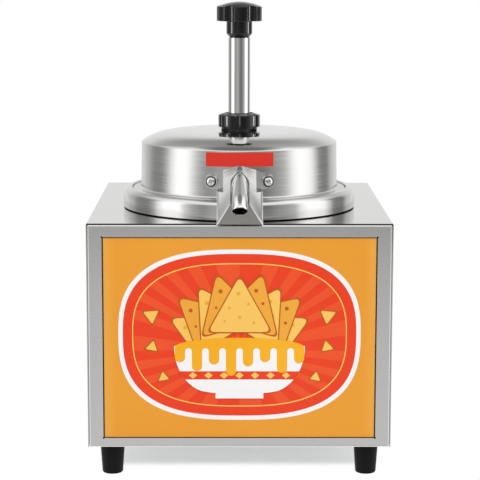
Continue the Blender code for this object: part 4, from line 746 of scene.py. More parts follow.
def guard_section(share):
    """Half of the guard's outer face across the spout as (x, z), from its crest over the tube,
    by a rounded shoulder, to the foot; share goes from 0 at the lid to 1 at the front."""
    lid_z = spout_height(PUMP_Y - LID_WALL_RADIUS)
    middle_z = lid_z + (GUARD_FRONT_Z - lid_z) * share
    corner = Vector((GUARD_HALF_WIDTH,
                     GUARD_SHOULDER_Z + (GUARD_FOOT_Z - GUARD_SHOULDER_Z) * share))
    squash = math.cos(SPOUT_SLOPE)
    drop = (corner.y - middle_z) * squash
    touch = math.atan2(drop, corner.x) + math.acos(GUARD_CREST / math.hypot(corner.x, drop))
    points = []
    for step in range(GUARD_CREST_STEPS + 1):
        angle = math.pi / 2 + (touch - math.pi / 2) * step / GUARD_CREST_STEPS
        points.append(Vector((GUARD_CREST * math.cos(angle),
                              middle_z + GUARD_CREST * math.sin(angle) / squash)))
    fold = min(GUARD_FOLD, (corner.y - GUARD_FOOT_Z) * GUARD_FOLD_SHARE)
    start = corner + (points[-1] - corner).normalized() * fold
    stop = corner - Vector((0, fold))
    for step in range(GUARD_FOLD_STEPS + 1):
        t = step / GUARD_FOLD_STEPS
        points.append(start * (1 - t) ** 2 + corner * 2 * t * (1 - t) + stop * t ** 2)
    return points + [Vector((GUARD_HALF_WIDTH, GUARD_FOOT_Z))]


def guard_shell():
    """The folded sheet: rows across the spout, from the lid's wall to the front."""
    reach = LID_WALL_RADIUS + 0.0003 + GUARD_SHEET / 2
    mesh_data = bmesh.new()
    rows = []
    for step in range(GUARD_LENGTH_STEPS + 1):
        share = step / GUARD_LENGTH_STEPS
        section = guard_section(share)
        row = []
        for x, z in [(-x, z) for x, z in section[:0:-1]] + section:
            back_y = PUMP_Y - math.sqrt(reach ** 2 - x ** 2)
            row.append(mesh_data.verts.new((x, back_y + (GUARD_FRONT_Y - back_y) * share, z)))
        rows.append(row)
    for first, second in zip(rows, rows[1:]):
        for index in range(len(first) - 1):
            after = index + 1
            mesh_data.faces.new((first[index], first[after], second[after], second[index]))
    bmesh.ops.remove_doubles(mesh_data, verts=mesh_data.verts, dist=0.000001)
    shell = finish_mesh("guard", mesh_data, LOOKS["guard_steel"])
    fold = shell.modifiers.new("thickness", "SOLIDIFY")
    fold.thickness = GUARD_SHEET
    fold.offset = -1
    fold.use_even_offset = True
    shell.modifiers.new("flat_faces", "TRIANGULATE")
    bpy.context.view_layer.update()
    return baked(shell)


def guard_cutters():
    """The slot along the crest, the corners above the ears' feet and the collar's space."""
    end_y = PUMP_Y - LID_WALL_RADIUS - GUARD_SLOT_SET - GUARD_SLOT_HALF
    over_y = GUARD_FRONT_Y - 0.004
    slot = arc((0, end_y), GUARD_SLOT_HALF, 0, 180, 40)
    slot += [(-GUARD_SLOT_HALF, over_y), (GUARD_SLOT_HALF, over_y)]
    cutters = [prism("guard_slot", slot, TOP_Z, LID_HIGH.z + 0.02, None)]
    for side in (-1, 1):
        near = side * EAR_ROOT_OFFSET
        far = side * (GUARD_HALF_WIDTH + 0.004)
        corner = [(near, FRONT_Y), (far, FRONT_Y), (far, PUMP_Y), (near, PUMP_Y)]
        cutters.append(prism(f"guard_corner_{side}", corner, EAR_Z - EAR_RADIUS,
                             LID_HIGH.z + 0.02, None))
    step_y = PUMP_Y - COLLAR_HIGH.x - GUARD_CLEARANCE
    over_z = COLLAR_HIGH.z + GUARD_CLEARANCE
    notch = [(step_y, TOP_Z - 0.004), (PUMP_Y, TOP_Z - 0.004), (PUMP_Y, over_z),
             (step_y + COLLAR_SHOULDER, over_z), (step_y, COLLAR_HIGH.z - COLLAR_SHOULDER)]
    reach = GUARD_HALF_WIDTH + 0.004
    cutters.append(prism("guard_notch", notch, -reach, reach, None, SIDEWAYS))
    return cutters


def guard_plate():
    section = guard_section(1)
    edge = section[GUARD_CREST_STEPS]
    foot = section[-1]
    half = GUARD_SHEET / 2
    outline = [(half - foot.x, foot.y), (foot.x - half, foot.y), (edge.x - half, edge.y - half),
               (half - edge.x, edge.y - half)]
    near = GUARD_FRONT_Y + PLATE_INSET
    # The end plate takes the darker steel: painted shade
    return prism("guard_plate", outline, near, near + GUARD_SHEET, LOOKS["plate_shaded_steel"], UPRIGHT)


def guard_ear(side):
    tab = (EAR_OFFSET - EAR_ROOT_OFFSET + GUARD_SHEET) / math.cos(EAR_ANGLE)
    outline = arc((0, 0), EAR_RADIUS, 90, -90, 32)
    outline += [(-tab, -EAR_RADIUS), (-tab, EAR_ROOT_RISE)]
    if side < 0:
        outline = [(-x, y) for x, y in outline[::-1]]
    place = ear_place(side, EAR_FACE_RADIUS - GUARD_SHEET - 0.0003)
    return prism(f"guard_ear_{side}", outline, 0, GUARD_SHEET, LOOKS["guard_steel"], place)


def build_guard():
    guard = guard_shell()
    cut_with(guard, *guard_cutters())
    parts = [guard_plate(), guard_ear(-1), guard_ear(1)]
    for part in parts:
        modifier = guard.modifiers.new(part.name, "BOOLEAN")
        modifier.object = part
        modifier.operation = "UNION"
        modifier.solver = "EXACT"
        modifier.material_mode = "TRANSFER"
    holes = [spout_bar("guard_bore", SPOUT_RADIUS + SPOUT_PLAY)]
    for side in (-1, 1):
        holes.append(prism(f"guard_hole_{side}", arc((0, 0), EAR_HOLE_RADIUS, 0, 360, 24)[:-1],
                           -0.008, 0.008, None, ear_place(side, EAR_FACE_RADIUS)))
    cut_with(guard, *holes)
    for part in parts:
        bpy.data.objects.remove(part, do_unlink=True)
    settle(guard, "lid", "guard_steel", "spout_guard")


# Screws with cross recesses

PAN_ROUND = 0.55
PAN_SHANK = 0.42
PAN_FOOT = 0.96
PAN_FOOT_RISE = 0.12
PAN_SHOULDER = 0.86
PAN_FLAT = 0.45
PAN_FLAT_RISE = 0.97
CROSS_HALF_WIDTH = 0.14
CROSS_REACH = 0.56
CROSS_FLOOR = 0.35
CROSS_TOP = 1.5
CROSS_TURN = 32


def pan_screw(name, place, radius, height, look, shank=0.0):
    """A pan head on a plane, its axis along the place's Z; shank is how far it goes in."""
    round_off = height * PAN_ROUND
    profile = [(0, -shank)] if shank else [(0, 0)]
    if shank:
        profile += [(radius * PAN_SHANK, -shank), (radius * PAN_SHANK, 0)]
    profile += [(radius * PAN_FOOT, 0), (radius, height * PAN_FOOT_RISE)]
    profile += arc((radius - round_off, height * PAN_SHOULDER - round_off), round_off, 0, 65, 6)
    profile += [(radius * PAN_FLAT, height * PAN_FLAT_RISE), (0, height)]
    head = lathe(name, profile, look, COARSE)
    wide = radius * CROSS_HALF_WIDTH
    reach = radius * CROSS_REACH
    outline = rectangle(-reach, reach, -wide, wide)
    cutters = [prism(f"{name}_slot_{index}", outline, height * CROSS_FLOOR, height * CROSS_TOP,
                     None, Matrix.Rotation(math.radians(CROSS_TURN + 90 * index), 4, "Z"))
               for index in range(2)]
    cut_with(head, *cutters)
    head.matrix_world = place
    return head


def flat_ring(name, place, inner, outer, height, look):
    profile = [(inner, 0), (outer, 0), (outer, height - WASHER_EASE), (outer - WASHER_EASE, height),
               (inner, height)]
    ring = lathe(name, profile, look, COARSE)
    ring.matrix_world = place
    return ring


def build_spout_screws():
    for name, side in (("left", -1), ("right", 1)):
        place = ear_place(side, EAR_FACE_RADIUS)
        parts = [
            pan_screw(f"screw_head_{name}", place, SCREW_HEAD_RADIUS, SCREW_HEAD_HEIGHT,
                      LOOKS["screw_steel"], SCREW_SHANK),
            # A dark ring round the head, where the gap between head and washer lies in shade: painted
            # shade
            flat_ring(f"screw_gap_shade_{name}", place, SCREW_HEAD_RADIUS - WASHER_EASE,
                      SCREW_RING_RADIUS + WASHER_EASE, WASHER_HEIGHT * 0.7,
                      LOOKS["gasket_rubber"]),
            flat_ring(f"screw_washer_{name}", place, SCREW_RING_RADIUS, WASHER_RADIUS,
                      WASHER_HEIGHT, LOOKS["screw_steel"]),
        ]
        screw = joined(f"guard_screw_{name}", parts)
        settle(screw, "lid", "pump_steel", f"spout_screw_{name}")


# Plunger tube, knob and nut

OUTLINE_STEPS = 360
TUBE_WALL = 0.0010
TUBE_EASE = 0.0003
KNOB_RADIUS = 0.01995
KNOB_HUB_RADIUS = 0.0113
KNOB_HUB_HEIGHT = 0.0139
KNOB_HEIGHT = 0.0123
KNOB_DOME = 0.0045
KNOB_SEAT = 0.0003
KNOB_PLUG = 0.012
KNOB_EDGE = 0.0009
KNOB_UNDER = 0.0006
KNOB_EDGE_STEPS = 4
KNOB_FOOT_INSET = 0.0004
KNOB_FOOT_RISE = (0.0026, 0.0034)
KNOB_UNDER_SHARE = 0.29
KNOB_DOME_SHARES = (0.92, 0.8, 0.66, 0.5, 0.34, 0.18)
KNOB_GROOVES = 6
KNOB_GROOVE_RADIUS = 0.0050
KNOB_GROOVE_SET = 0.00165
KNOB_GROOVE_TURN = math.radians(-116)
KNOB_SOFTEN = 0.0012
NUT_RADIUS = 0.0183
NUT_BORE = 0.0137
NUT_BASE_INSET = 0.0026
NUT_LOBE_INSET = 0.0016
NUT_MOUTH_RADIUS = 0.0117
NUT_MOUTH_DEPTH = 0.0030
NUT_MOUTH_PROFILE = ((0.0012, 0.0001), (0.0006, 0.0), (0.0001, 0.0004))
NUT_EASE = 0.0007
NUT_TOP_RISE = 0.0001
NUT_FOOT_EASE = 0.0003
NUT_GROOVES = 6
NUT_GROOVE_RADIUS = 0.0024
NUT_GROOVE_SET = 0.0006
NUT_GROOVE_TURN = math.radians(-94)
NUT_SOFTEN = 0.0009
EASE_SHARE = 0.3


def fluted(name, levels, outline, look, place):
    """Rings from bottom to top: each level is (kind, value, height), where kind set gives a radius
    and kind inset a distance in from the outline; the first and last levels are poles or loops."""
    count = len(outline)
    mesh_data = bmesh.new()
    rings = []
    for kind, value, height in levels:
        if kind == "pole":
            rings.append([mesh_data.verts.new((0, 0, height))])
            continue
        ring = []
        for index, radius in enumerate(outline):
            angle = 2 * math.pi * index / count
            reach = value if kind == "set" else radius - value
            if kind == "share":
                reach = radius * value
            rise = height(reach) if callable(height) else height
            ring.append(mesh_data.verts.new((reach * math.cos(angle), reach * math.sin(angle),
                                             rise)))
        rings.append(ring)
    closed = len(rings[0]) > 1 and len(rings[-1]) > 1
    pairs = list(zip(rings, rings[1:])) + ([(rings[-1], rings[0])] if closed else [])
    for first, second in pairs:
        if len(first) == 1 or len(second) == 1:
            pole, ring = (first[0], second) if len(first) == 1 else (second[0], first)
            for index in range(count):
                mesh_data.faces.new((pole, ring[index], ring[(index + 1) % count]))
        else:
            bridge(mesh_data, first, second)
    piece = finish_mesh(name, mesh_data, look, place, MOULDED_ANGLE)
    flat = piece.modifiers.new("flat_large_faces", "WEIGHTED_NORMAL")
    flat.keep_sharp = True
    return piece


def lobed_outline(radius, grooves, groove_radius, distance, turn, soften, steps):
    """Radius at each of many angles of a round knob with cylindrical grooves."""
    outline = []
    for step in range(steps):
        angle = 2 * math.pi * step / steps
        pitch = 2 * math.pi / grooves
        offset = (angle - turn + pitch / 2) % pitch - pitch / 2
        reach = radius
        under = groove_radius ** 2 - (distance * math.sin(offset)) ** 2
        if under > 0:
            hit = distance * math.cos(offset) - math.sqrt(under)
            blend = max(soften - abs(radius - hit), 0.0) / soften
            reach = min(radius, hit) - blend ** 2 * soften / 4
        outline.append(reach)
    return outline


def build_plunger():
    radius = TUBE_HIGH.x
    top = TUBE_HIGH.z
    low = TUBE_LOW.z
    bore = radius - TUBE_WALL
    profile = [(bore, low), (radius, low), (radius, top - TUBE_EASE), (radius - TUBE_EASE, top),
               (bore, top)]
    tube = lathe("pump_tube", profile, LOOKS["tube_steel"], MEDIUM, PUMP_AXIS)
    settle(tube, "plunger", "tube_steel", "plunger_tube")

    hub_z = top + KNOB_SEAT
    flute_z = hub_z + KNOB_HUB_HEIGHT
    rim_z = flute_z + KNOB_HEIGHT
    tip = radius - TUBE_WALL
    plug = bore - KNOB_SEAT

    def dome_z(reach):
        return rim_z + KNOB_DOME * (1 - (reach / KNOB_RADIUS) ** 2)

    outline = lobed_outline(KNOB_RADIUS, KNOB_GROOVES, KNOB_GROOVE_RADIUS,
                            KNOB_RADIUS + KNOB_GROOVE_SET, KNOB_GROOVE_TURN, KNOB_SOFTEN,
                            OUTLINE_STEPS)
    under = KNOB_UNDER
    levels = [("pole", 0, hub_z - KNOB_PLUG), ("set", plug, hub_z - KNOB_PLUG),
              ("set", plug, hub_z), ("set", tip, hub_z),
              ("set", KNOB_HUB_RADIUS - KNOB_FOOT_INSET, hub_z + KNOB_FOOT_RISE[0]),
              ("set", KNOB_HUB_RADIUS, hub_z + KNOB_FOOT_RISE[1]),
              ("set", KNOB_HUB_RADIUS, flute_z - under),
              ("set", KNOB_HUB_RADIUS + under, flute_z), ("inset", under, flute_z),
              ("inset", under * KNOB_UNDER_SHARE, flute_z + under * KNOB_UNDER_SHARE),
              ("inset", 0.0, flute_z + under)]
    for step in range(KNOB_EDGE_STEPS + 1):
        turn = math.radians(90 * step / KNOB_EDGE_STEPS)
        inset = KNOB_EDGE * (1 - math.cos(turn))

        def rim(reach, inset=inset, turn=turn):
            return dome_z(reach + inset - KNOB_EDGE) - KNOB_EDGE + KNOB_EDGE * math.sin(turn)

        levels.append(("inset", inset, rim))
    for share in KNOB_DOME_SHARES:
        levels.append(("share", share, dome_z))
    levels.append(("pole", 0, rim_z + KNOB_DOME))
    knob = fluted("knob", levels, outline, LOOKS["knob_plastic"], PUMP_AXIS)
    settle(knob, "plunger", "knob_plastic", "pump_knob")
    return knob


def build_nut():
    low = NUT_LOW.z
    top = NUT_HIGH.z
    base = NUT_RADIUS - NUT_BASE_INSET
    body_z = low + NUT_LOBE_INSET
    edge_z = top - NUT_LOBE_INSET
    mouth = NUT_MOUTH_RADIUS
    floor_z = top - NUT_MOUTH_DEPTH
    outline = lobed_outline(NUT_RADIUS, NUT_GROOVES, NUT_GROOVE_RADIUS,
                            NUT_RADIUS + NUT_GROOVE_SET, NUT_GROOVE_TURN, NUT_SOFTEN,
                            OUTLINE_STEPS)
    ease = NUT_EASE
    levels = [("set", NUT_BORE, low), ("set", base - NUT_FOOT_EASE, low),
              ("set", base, low + NUT_FOOT_EASE),
              ("set", base, body_z), ("inset", ease, body_z),
              ("inset", ease * EASE_SHARE, body_z + ease * EASE_SHARE),
              ("inset", 0.0, body_z + ease), ("inset", 0.0, edge_z - ease),
              ("inset", ease * EASE_SHARE, edge_z - ease * EASE_SHARE),
              ("inset", ease, edge_z + NUT_TOP_RISE)]
    levels += [("set", mouth + out, top - down) for out, down in NUT_MOUTH_PROFILE]
    levels += [("set", mouth, floor_z), ("set", NUT_BORE, floor_z)]
    nut = fluted("nut", levels, outline, LOOKS["knob_plastic"], PUMP_AXIS)
    settle(nut, "nut", "knob_plastic", "lock_nut")
    return nut


# Feet

FOOT_BASE_RADIUS = 0.0088
FOOT_TOP_RADIUS = 0.0104
FOOT_TOP_GAP = 0.0003
FOOT_ROUND = 0.0016
FOOT_EASE = 0.0004
FOOT_HOLLOW = ((0, 0.0012), (0.0030, 0.0012), (0.0036, 0))
FOOT_STUD_RADIUS = 0.0040
FOOT_STUD_STEP = 0.0016
FOOT_STUD_HEAD = 0.0052
FOOT_STUD_REACH = 0.0061


def build_feet():
    top = BASE_Z - FOOT_TOP_GAP
    stud = FOOT_STUD_RADIUS
    profile = list(FOOT_HOLLOW)
    profile += arc((FOOT_BASE_RADIUS - FOOT_ROUND, FOOT_ROUND), FOOT_ROUND, 270, 360, 6)
    profile += arc((FOOT_TOP_RADIUS - FOOT_EASE, top - FOOT_EASE), FOOT_EASE, 0, 90, 3)
    profile += [(stud, top), (stud, top + FOOT_STUD_STEP), (FOOT_STUD_HEAD, top + FOOT_STUD_STEP),
                (stud, top + FOOT_STUD_REACH), (0, top + FOOT_STUD_REACH)]
    for end in ("front_left", "front_right", "rear_left", "rear_right"):
        low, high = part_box(f"foot_{end}")
        centre = (low + high) / 2
        foot = lathe(f"rubber_foot_{end}", profile, LOOKS["foot_rubber"], COARSE,
                     (centre.x, centre.y, 0))
        settle(foot, "cabinet", "foot_rubber", f"foot_{end}")


# Sign artwork: chips over a bowl of melted cheese on a rayed oval, in layers a few hundredths of
# a millimetre thick; its places are across and up from the sign's middle

SIGN_CENTRE = Vector((0, SIGN_LOW.y, (SIGN_LOW.z + SIGN_HIGH.z) / 2 + 0.0025))
LAYER = 0.00003
ART_HALF_WIDTH = 0.1010
ART_HALF_HEIGHT = 0.0725
ART_POWER = 2.7
ART_BORDER = 0.0037
ART_LINE_INSET = 0.0078
ART_LINE_WIDTH = 0.0009
ART_STEPS = 144
RAY_COUNT = 24
RAY_CENTRE = (0.0, -0.012)
CHIP_SIZE = 0.056
CHIP_REACH = 0.035
CHIP_FAN = (64, 48, 32, 16, 0)
CHIP_ROUND = 0.0036
CHIP_LINE = 0.0010
TOAST_SPOTS = ((0.26, 0.02, 0.030), (0.10, -0.13, 0.024), (0.04, 0.15, 0.020),
               (-0.10, 0.0, 0.026), (-0.16, 0.22, 0.018), (-0.18, -0.21, 0.022))
BOWL_HALF = 0.0545
BOWL_BASE_HALF = 0.0230
BOWL_RIM = -0.0100
BOWL_DEPTH = 0.0390
BOWL_FOOT_HALF = 0.0200
BOWL_FOOT = 0.0048
BAND_TOP = 0.0205
BAND_BOTTOM = 0.0275
BAND_DIAMONDS = 7
DRIP_HALF = 0.0043
DRIP_GAP = 0.0056
DRIP_LENGTHS = (0.0050, 0.0125, 0.0070, 0.0165, 0.0085, 0.0050, 0.0140, 0.0060)
DRIP_ROOT = 0.0035
CHEESE_CROWN = 0.0080
CRUMBS = ((0.0740, 0.0170, 24, 0.0160), (0.0735, -0.0100, -18, 0.0130),
          (0.0640, -0.0360, -40, 0.0120))


def sign_place(depth):
    """Sign coordinates are across and up; depth lies towards the viewer."""
    turn = Matrix(((1, 0, 0), (0, 0, -1), (0, 1, 0))).to_4x4()
    return Matrix.Translation(SIGN_CENTRE + Vector((0, -depth, 0))) @ turn


def oval_point(inset, share):
    angle = 2 * math.pi * share
    c = math.cos(angle)
    s = math.sin(angle)
    return ((ART_HALF_WIDTH - inset) * math.copysign(abs(c) ** (2 / ART_POWER), c),
            (ART_HALF_HEIGHT - inset) * math.copysign(abs(s) ** (2 / ART_POWER), s))


def oval(inset):
    return [oval_point(inset, step / ART_STEPS) for step in range(ART_STEPS)]


def layer(name, outline, level, look):
    return prism(name, outline, -LAYER * level, 0, look, sign_place(LAYER * level))


def band(name, outer, inner, level, look):
    place = sign_place(LAYER * level)
    mesh_data = bmesh.new()
    loops = []
    for outline in (outer, inner):
        for depth in (-LAYER * level, 0):
            loops.append([mesh_data.verts.new(place @ Vector((x, y, depth))) for x, y in outline])
    bridge_band(mesh_data, loops)
    return finish_mesh(name, mesh_data, look)


def rounded(corners, radius, steps=5):
    """A polygon with its corners rounded."""
    points = []
    count = len(corners)
    for index in range(count):
        before = Vector(corners[index - 1])
        here = Vector(corners[index])
        after = Vector(corners[(index + 1) % count])
        first = (before - here).normalized()
        second = (after - here).normalized()
        half = first.angle(second) / 2
        back = min(radius / math.tan(half), 0.45 * min((before - here).length,
                                                       (after - here).length))
        start = here + first * back
        stop = here + second * back
        for step in range(steps + 1):
            t = step / steps
            point = start * (1 - t) ** 2 + here * 2 * t * (1 - t) + stop * t ** 2
            points.append((point.x, point.y))
    return points


def art_chip(name, centre, heading, size, level, face):
    """A tortilla chip with its point towards the heading: outline, face and toasted spots."""
    turn = math.radians(heading)

    def at(along, across):
        return (centre[0] + (along * math.cos(turn) - across * math.sin(turn)) * size,
                centre[1] + (along * math.sin(turn) + across * math.cos(turn)) * size)

    parts = []
    for index, (shrink, look) in enumerate(((0.0, "sign_line"), (CHIP_LINE / size, face))):
        corners = [at(0.56 - 2 * shrink, 0.0), at(shrink - 0.34, 0.5 - 1.73 * shrink),
                   at(shrink - 0.34, 1.73 * shrink - 0.5)]
        parts.append(layer(f"{name}_{index}", rounded(corners, CHIP_ROUND * size / CHIP_SIZE),
                           level + index, LOOKS[look]))
    for index, (along, across, radius) in enumerate(TOAST_SPOTS):
        spot = arc(at(along, across), radius * size, 0, 360, 14)[:-1]
        parts.append(layer(f"{name}_spot_{index}", spot, level + 2,
                           LOOKS["sign_toast" if face == "sign_chip" else "sign_line"]))
    return parts


def bowl_half(drop):
    """Half width of the bowl at a drop below its rim."""
    return BOWL_BASE_HALF + (BOWL_HALF - BOWL_BASE_HALF) * math.sqrt(
        max(0.0, 1 - (drop / BOWL_DEPTH) ** 2))


def bowl_side(first, last, steps):
    return [(bowl_half(drop), BOWL_RIM - drop)
            for drop in (first + (last - first) * step / steps for step in range(steps + 1))]


def mirrored(right_side):
    return right_side + [(-x, y) for x, y in right_side[::-1]]


def art_cheese(level):
    """The crown of the cheese over the rim, with round drips and round gaps below."""
    half = (len(DRIP_LENGTHS) * 2 * DRIP_HALF + (len(DRIP_LENGTHS) - 1) * DRIP_GAP) / 2
    root = BOWL_RIM - DRIP_ROOT
    crown = arc((0, 0), 1, 0, 180, 40)
    outline = [(x * half, BOWL_RIM + y * CHEESE_CROWN) for x, y in crown]
    x = -half
    for index, length in enumerate(DRIP_LENGTHS):
        outline += arc((x + DRIP_HALF, root - length), DRIP_HALF, 180, 360, 12)
        x += 2 * DRIP_HALF
        if index + 1 < len(DRIP_LENGTHS):
            outline += arc((x + DRIP_GAP / 2, root), DRIP_GAP / 2, 180, 0, 10)
            x += DRIP_GAP
    return layer("art_cheese", outline, level, LOOKS["sign_cheese"])


def build_sign():
    cream = LOOKS["sign_cream"]
    line = ART_BORDER + ART_LINE_INSET
    parts = [
        layer("art_oval", oval(ART_BORDER), 1, LOOKS["sign_red"]),
        band("art_border", oval(0.0), oval(ART_BORDER), 3, cream),
        band("art_line", oval(line), oval(line + ART_LINE_WIDTH), 3, LOOKS["sign_chip"]),
    ]
    for index in range(RAY_COUNT):
        edge = [oval_point(line + ART_LINE_WIDTH, (index + step / 12) / RAY_COUNT)
                for step in range(7)]
        parts.append(layer(f"art_ray_{index}", [RAY_CENTRE] + edge, 2, LOOKS["sign_ray"]))
    level = 4
    for index, lean in enumerate(CHIP_FAN):
        back_row = index % 2 == 1
        reach = CHIP_REACH * (1.12 if back_row else 1.0)
        for side in ((-1, 1) if lean else (1,)):
            turn = math.radians(90 - side * lean)
            centre = (reach * math.cos(turn), BOWL_RIM - 0.004 + reach * math.sin(turn))
            parts += art_chip(f"art_chip_{index}_{side}", centre, 90 - side * lean,
                              CHIP_SIZE, level, "sign_toast" if back_row else "sign_chip")
            level += 3
    bowl = mirrored([(BOWL_HALF, BOWL_RIM + 0.001)] + bowl_side(0, BOWL_DEPTH, 24)
                    + [(BOWL_FOOT_HALF, BOWL_RIM - BOWL_DEPTH),
                       (BOWL_FOOT_HALF, BOWL_RIM - BOWL_DEPTH - BOWL_FOOT)])
    parts.append(layer("art_bowl", bowl, level, cream))
    stripe = mirrored(bowl_side(BAND_TOP, BAND_BOTTOM, 6))
    parts.append(layer("art_band", stripe, level + 1, LOOKS["sign_red"]))
    half = (BAND_BOTTOM - BAND_TOP) / 2
    for index in range(BAND_DIAMONDS):
        x = (index - (BAND_DIAMONDS - 1) / 2) * 2 * bowl_half(BAND_BOTTOM) / BAND_DIAMONDS
        y = BOWL_RIM - BAND_TOP - half
        diamond = [(x + half, y), (x, y + half * 0.8), (x - half, y), (x, y - half * 0.8)]
        parts.append(layer(f"art_diamond_{index}", diamond, level + 2, LOOKS["sign_chip"]))
    parts.append(art_cheese(level + 3))
    for index, (x, y, lean, size) in enumerate(CRUMBS):
        for side in (-1, 1):
            heading = lean if side > 0 else 180 - lean
            parts += art_chip(f"art_crumb_{index}_{side}", (side * x, y), heading, size, 4,
                              "sign_chip")
    art = joined("sign_art", parts)
    settle(art, "cabinet", "sign_print")


# Dark strip between the window's edge and the sign: painted shade of the gap there

FRAME_SHEET = 0.0010
WINDOW_HALF_WIDTH = 0.1141
WINDOW_SILL = 0.0075
WINDOW_HEAD = 0.01135
GAP_SHADE_SIDE = 0.0010
GAP_SHADE_TOP = 0.0008
GAP_SHADE_BOTTOM = 0.0005
GAP_SHADE_UNDER = 0.0020
GAP_SHADE_CLEARANCE = 0.00003


def build_window_seal():
    """A thin dark lip in the gap between the frame and the sign: painted shade of that gap."""
    near = FRONT_Y + FRAME_SHEET + GAP_SHADE_CLEARANCE
    far = SIGN_LOW.y - GAP_SHADE_CLEARANCE
    sill = BASE_Z + WINDOW_SILL
    head = TOP_Z - WINDOW_HEAD
    over = WINDOW_HALF_WIDTH + GAP_SHADE_UNDER
    within = WINDOW_HALF_WIDTH - GAP_SHADE_SIDE
    outer = rectangle(-over, over, sill - GAP_SHADE_UNDER, head + GAP_SHADE_UNDER)
    inner = rectangle(-within, within, sill + GAP_SHADE_BOTTOM, head - GAP_SHADE_TOP)
    mesh_data = bmesh.new()
    loops = []
    for outline in (outer, inner):
        for y in (near, far):
            loops.append([mesh_data.verts.new((x, y, z)) for x, z in outline])
    bridge_band(mesh_data, loops)
    # The strip takes the black rubber colour where there is only the gap's shade: painted shade
    seal = finish_mesh("window_shade_strip", mesh_data, LOOKS["gasket_rubber"])
    settle(seal, "cabinet", "gasket_rubber")


# Folded edge round the frame: a low ridge whose outer slope catches the light; its colour, the
# guard's brighter steel, is a painted highlight

BEND_WIDTH = 0.0011
BEND_CREST = 0.0009
BEND_RISE = 0.00036
BEND_ANGLE = math.radians(5)


def build_frame_bends():
    low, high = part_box("front_frame")
    mesh_data = bmesh.new()
    loops = []
    for inset, rise in ((0.0, 0.0), (BEND_CREST, BEND_RISE), (BEND_WIDTH, 0.0)):
        corners = rectangle(low.x + inset, high.x - inset, low.z + inset, high.z - inset)
        loops.append([mesh_data.verts.new((x, low.y - rise, z)) for x, z in corners])
    for first, second in zip(loops, loops[1:] + loops[:1]):
        bridge(mesh_data, first, second)
    # The ridge takes the guard's steel, brighter than the frame's: a painted highlight
    bends = finish_mesh("frame_bends", mesh_data, LOOKS["guard_steel"])
    bends.data.set_sharp_from_angle(angle=BEND_ANGLE)
    settle(bends, "cabinet", "frame_steel")


# Dark discs at the frame's corners: painted shade in the relief notches there

NOTCH_RADIUS = 0.00075
NOTCH_SHADE_THICKNESS = 0.00003
NOTCH_INSET = 0.0010


def build_notches():
    sill = BASE_Z + WINDOW_SILL
    head = TOP_Z - WINDOW_HEAD
    corner = WRAP_HIGH.x - NOTCH_INSET
    places = [(side * WINDOW_HALF_WIDTH, height) for side in (-1, 1) for height in (sill, head)]
    places += [(-corner, TOP_Z - NOTCH_INSET), (corner, TOP_Z - NOTCH_INSET)]
    notch_shades = []
    for index, (x, z) in enumerate(places):
        outline = arc((x, z), NOTCH_RADIUS, 0, 360, 20)[:-1]
        # Each disc is a thin dark sheet on the frame's face where a notch's shade shows: painted
        # shade
        notch_shades.append(prism(f"notch_{index}", outline, FRONT_Y - NOTCH_SHADE_THICKNESS, FRONT_Y,
                             LOOKS["gasket_rubber"], UPRIGHT))
    settle(joined("frame_notch_shades", notch_shades), "cabinet", "gasket_rubber")


# Rear controls

def outward(x, y, z):
    """Frame on the rear panel whose Z axis points out and whose X axis is the viewer's right."""
    turn = Matrix(((-1, 0, 0, 0), (0, 0, 1, 0), (0, 1, 0, 0), (0, 0, 0, 1)))
    return Matrix.Translation((x, y, z)) @ turn


def lettering(name, words, size, place, look, thickness=0.00003):
    curve = bpy.data.curves.new(name, "FONT")
    curve.body = words
    curve.size = size
    curve.align_x = "CENTER"
    curve.align_y = "CENTER"
    curve.extrude = thickness
    text = bpy.data.objects.new(name, curve)
    bpy.context.scene.collection.objects.link(text)
    bpy.context.view_layer.update()
    mesh = bpy.data.meshes.new_from_object(text.evaluated_get(
        bpy.context.evaluated_depsgraph_get()))
    bpy.data.objects.remove(text, do_unlink=True)
    mesh.transform(place)
    mesh.materials.clear()
    mesh.materials.append(look)
    piece = bpy.data.objects.new(name, mesh)
    bpy.context.scene.collection.objects.link(piece)
    return piece


POINTER_THICKNESS = 0.0003
POINTER_SUNK = 0.0003
POINTER_HALF_WIDTH = 0.0007
POINTER_NEAR = 0.0075
POINTER_FAR = 0.0150
MARK_LIFT = 0.00003
DIAL_MARKS = 9
DIAL_TURN = 270
TICK_REACH = 0.0245
TICK_HALF_LENGTH = 0.0014
TICK_HALF_WIDTH = 0.00030
TICK_THICKNESS = 0.00006
NUMBER_REACH = 0.0300
NUMBER_SIZE = 0.0056
WORD_RISE = 0.0185
WORD_SIZE = 0.0052
REAR_SCREW_X = 0.119
REAR_SCREW_INSET = 0.012
REAR_SCREW_RADIUS = 0.0032
REAR_SCREW_HEIGHT = 0.0018


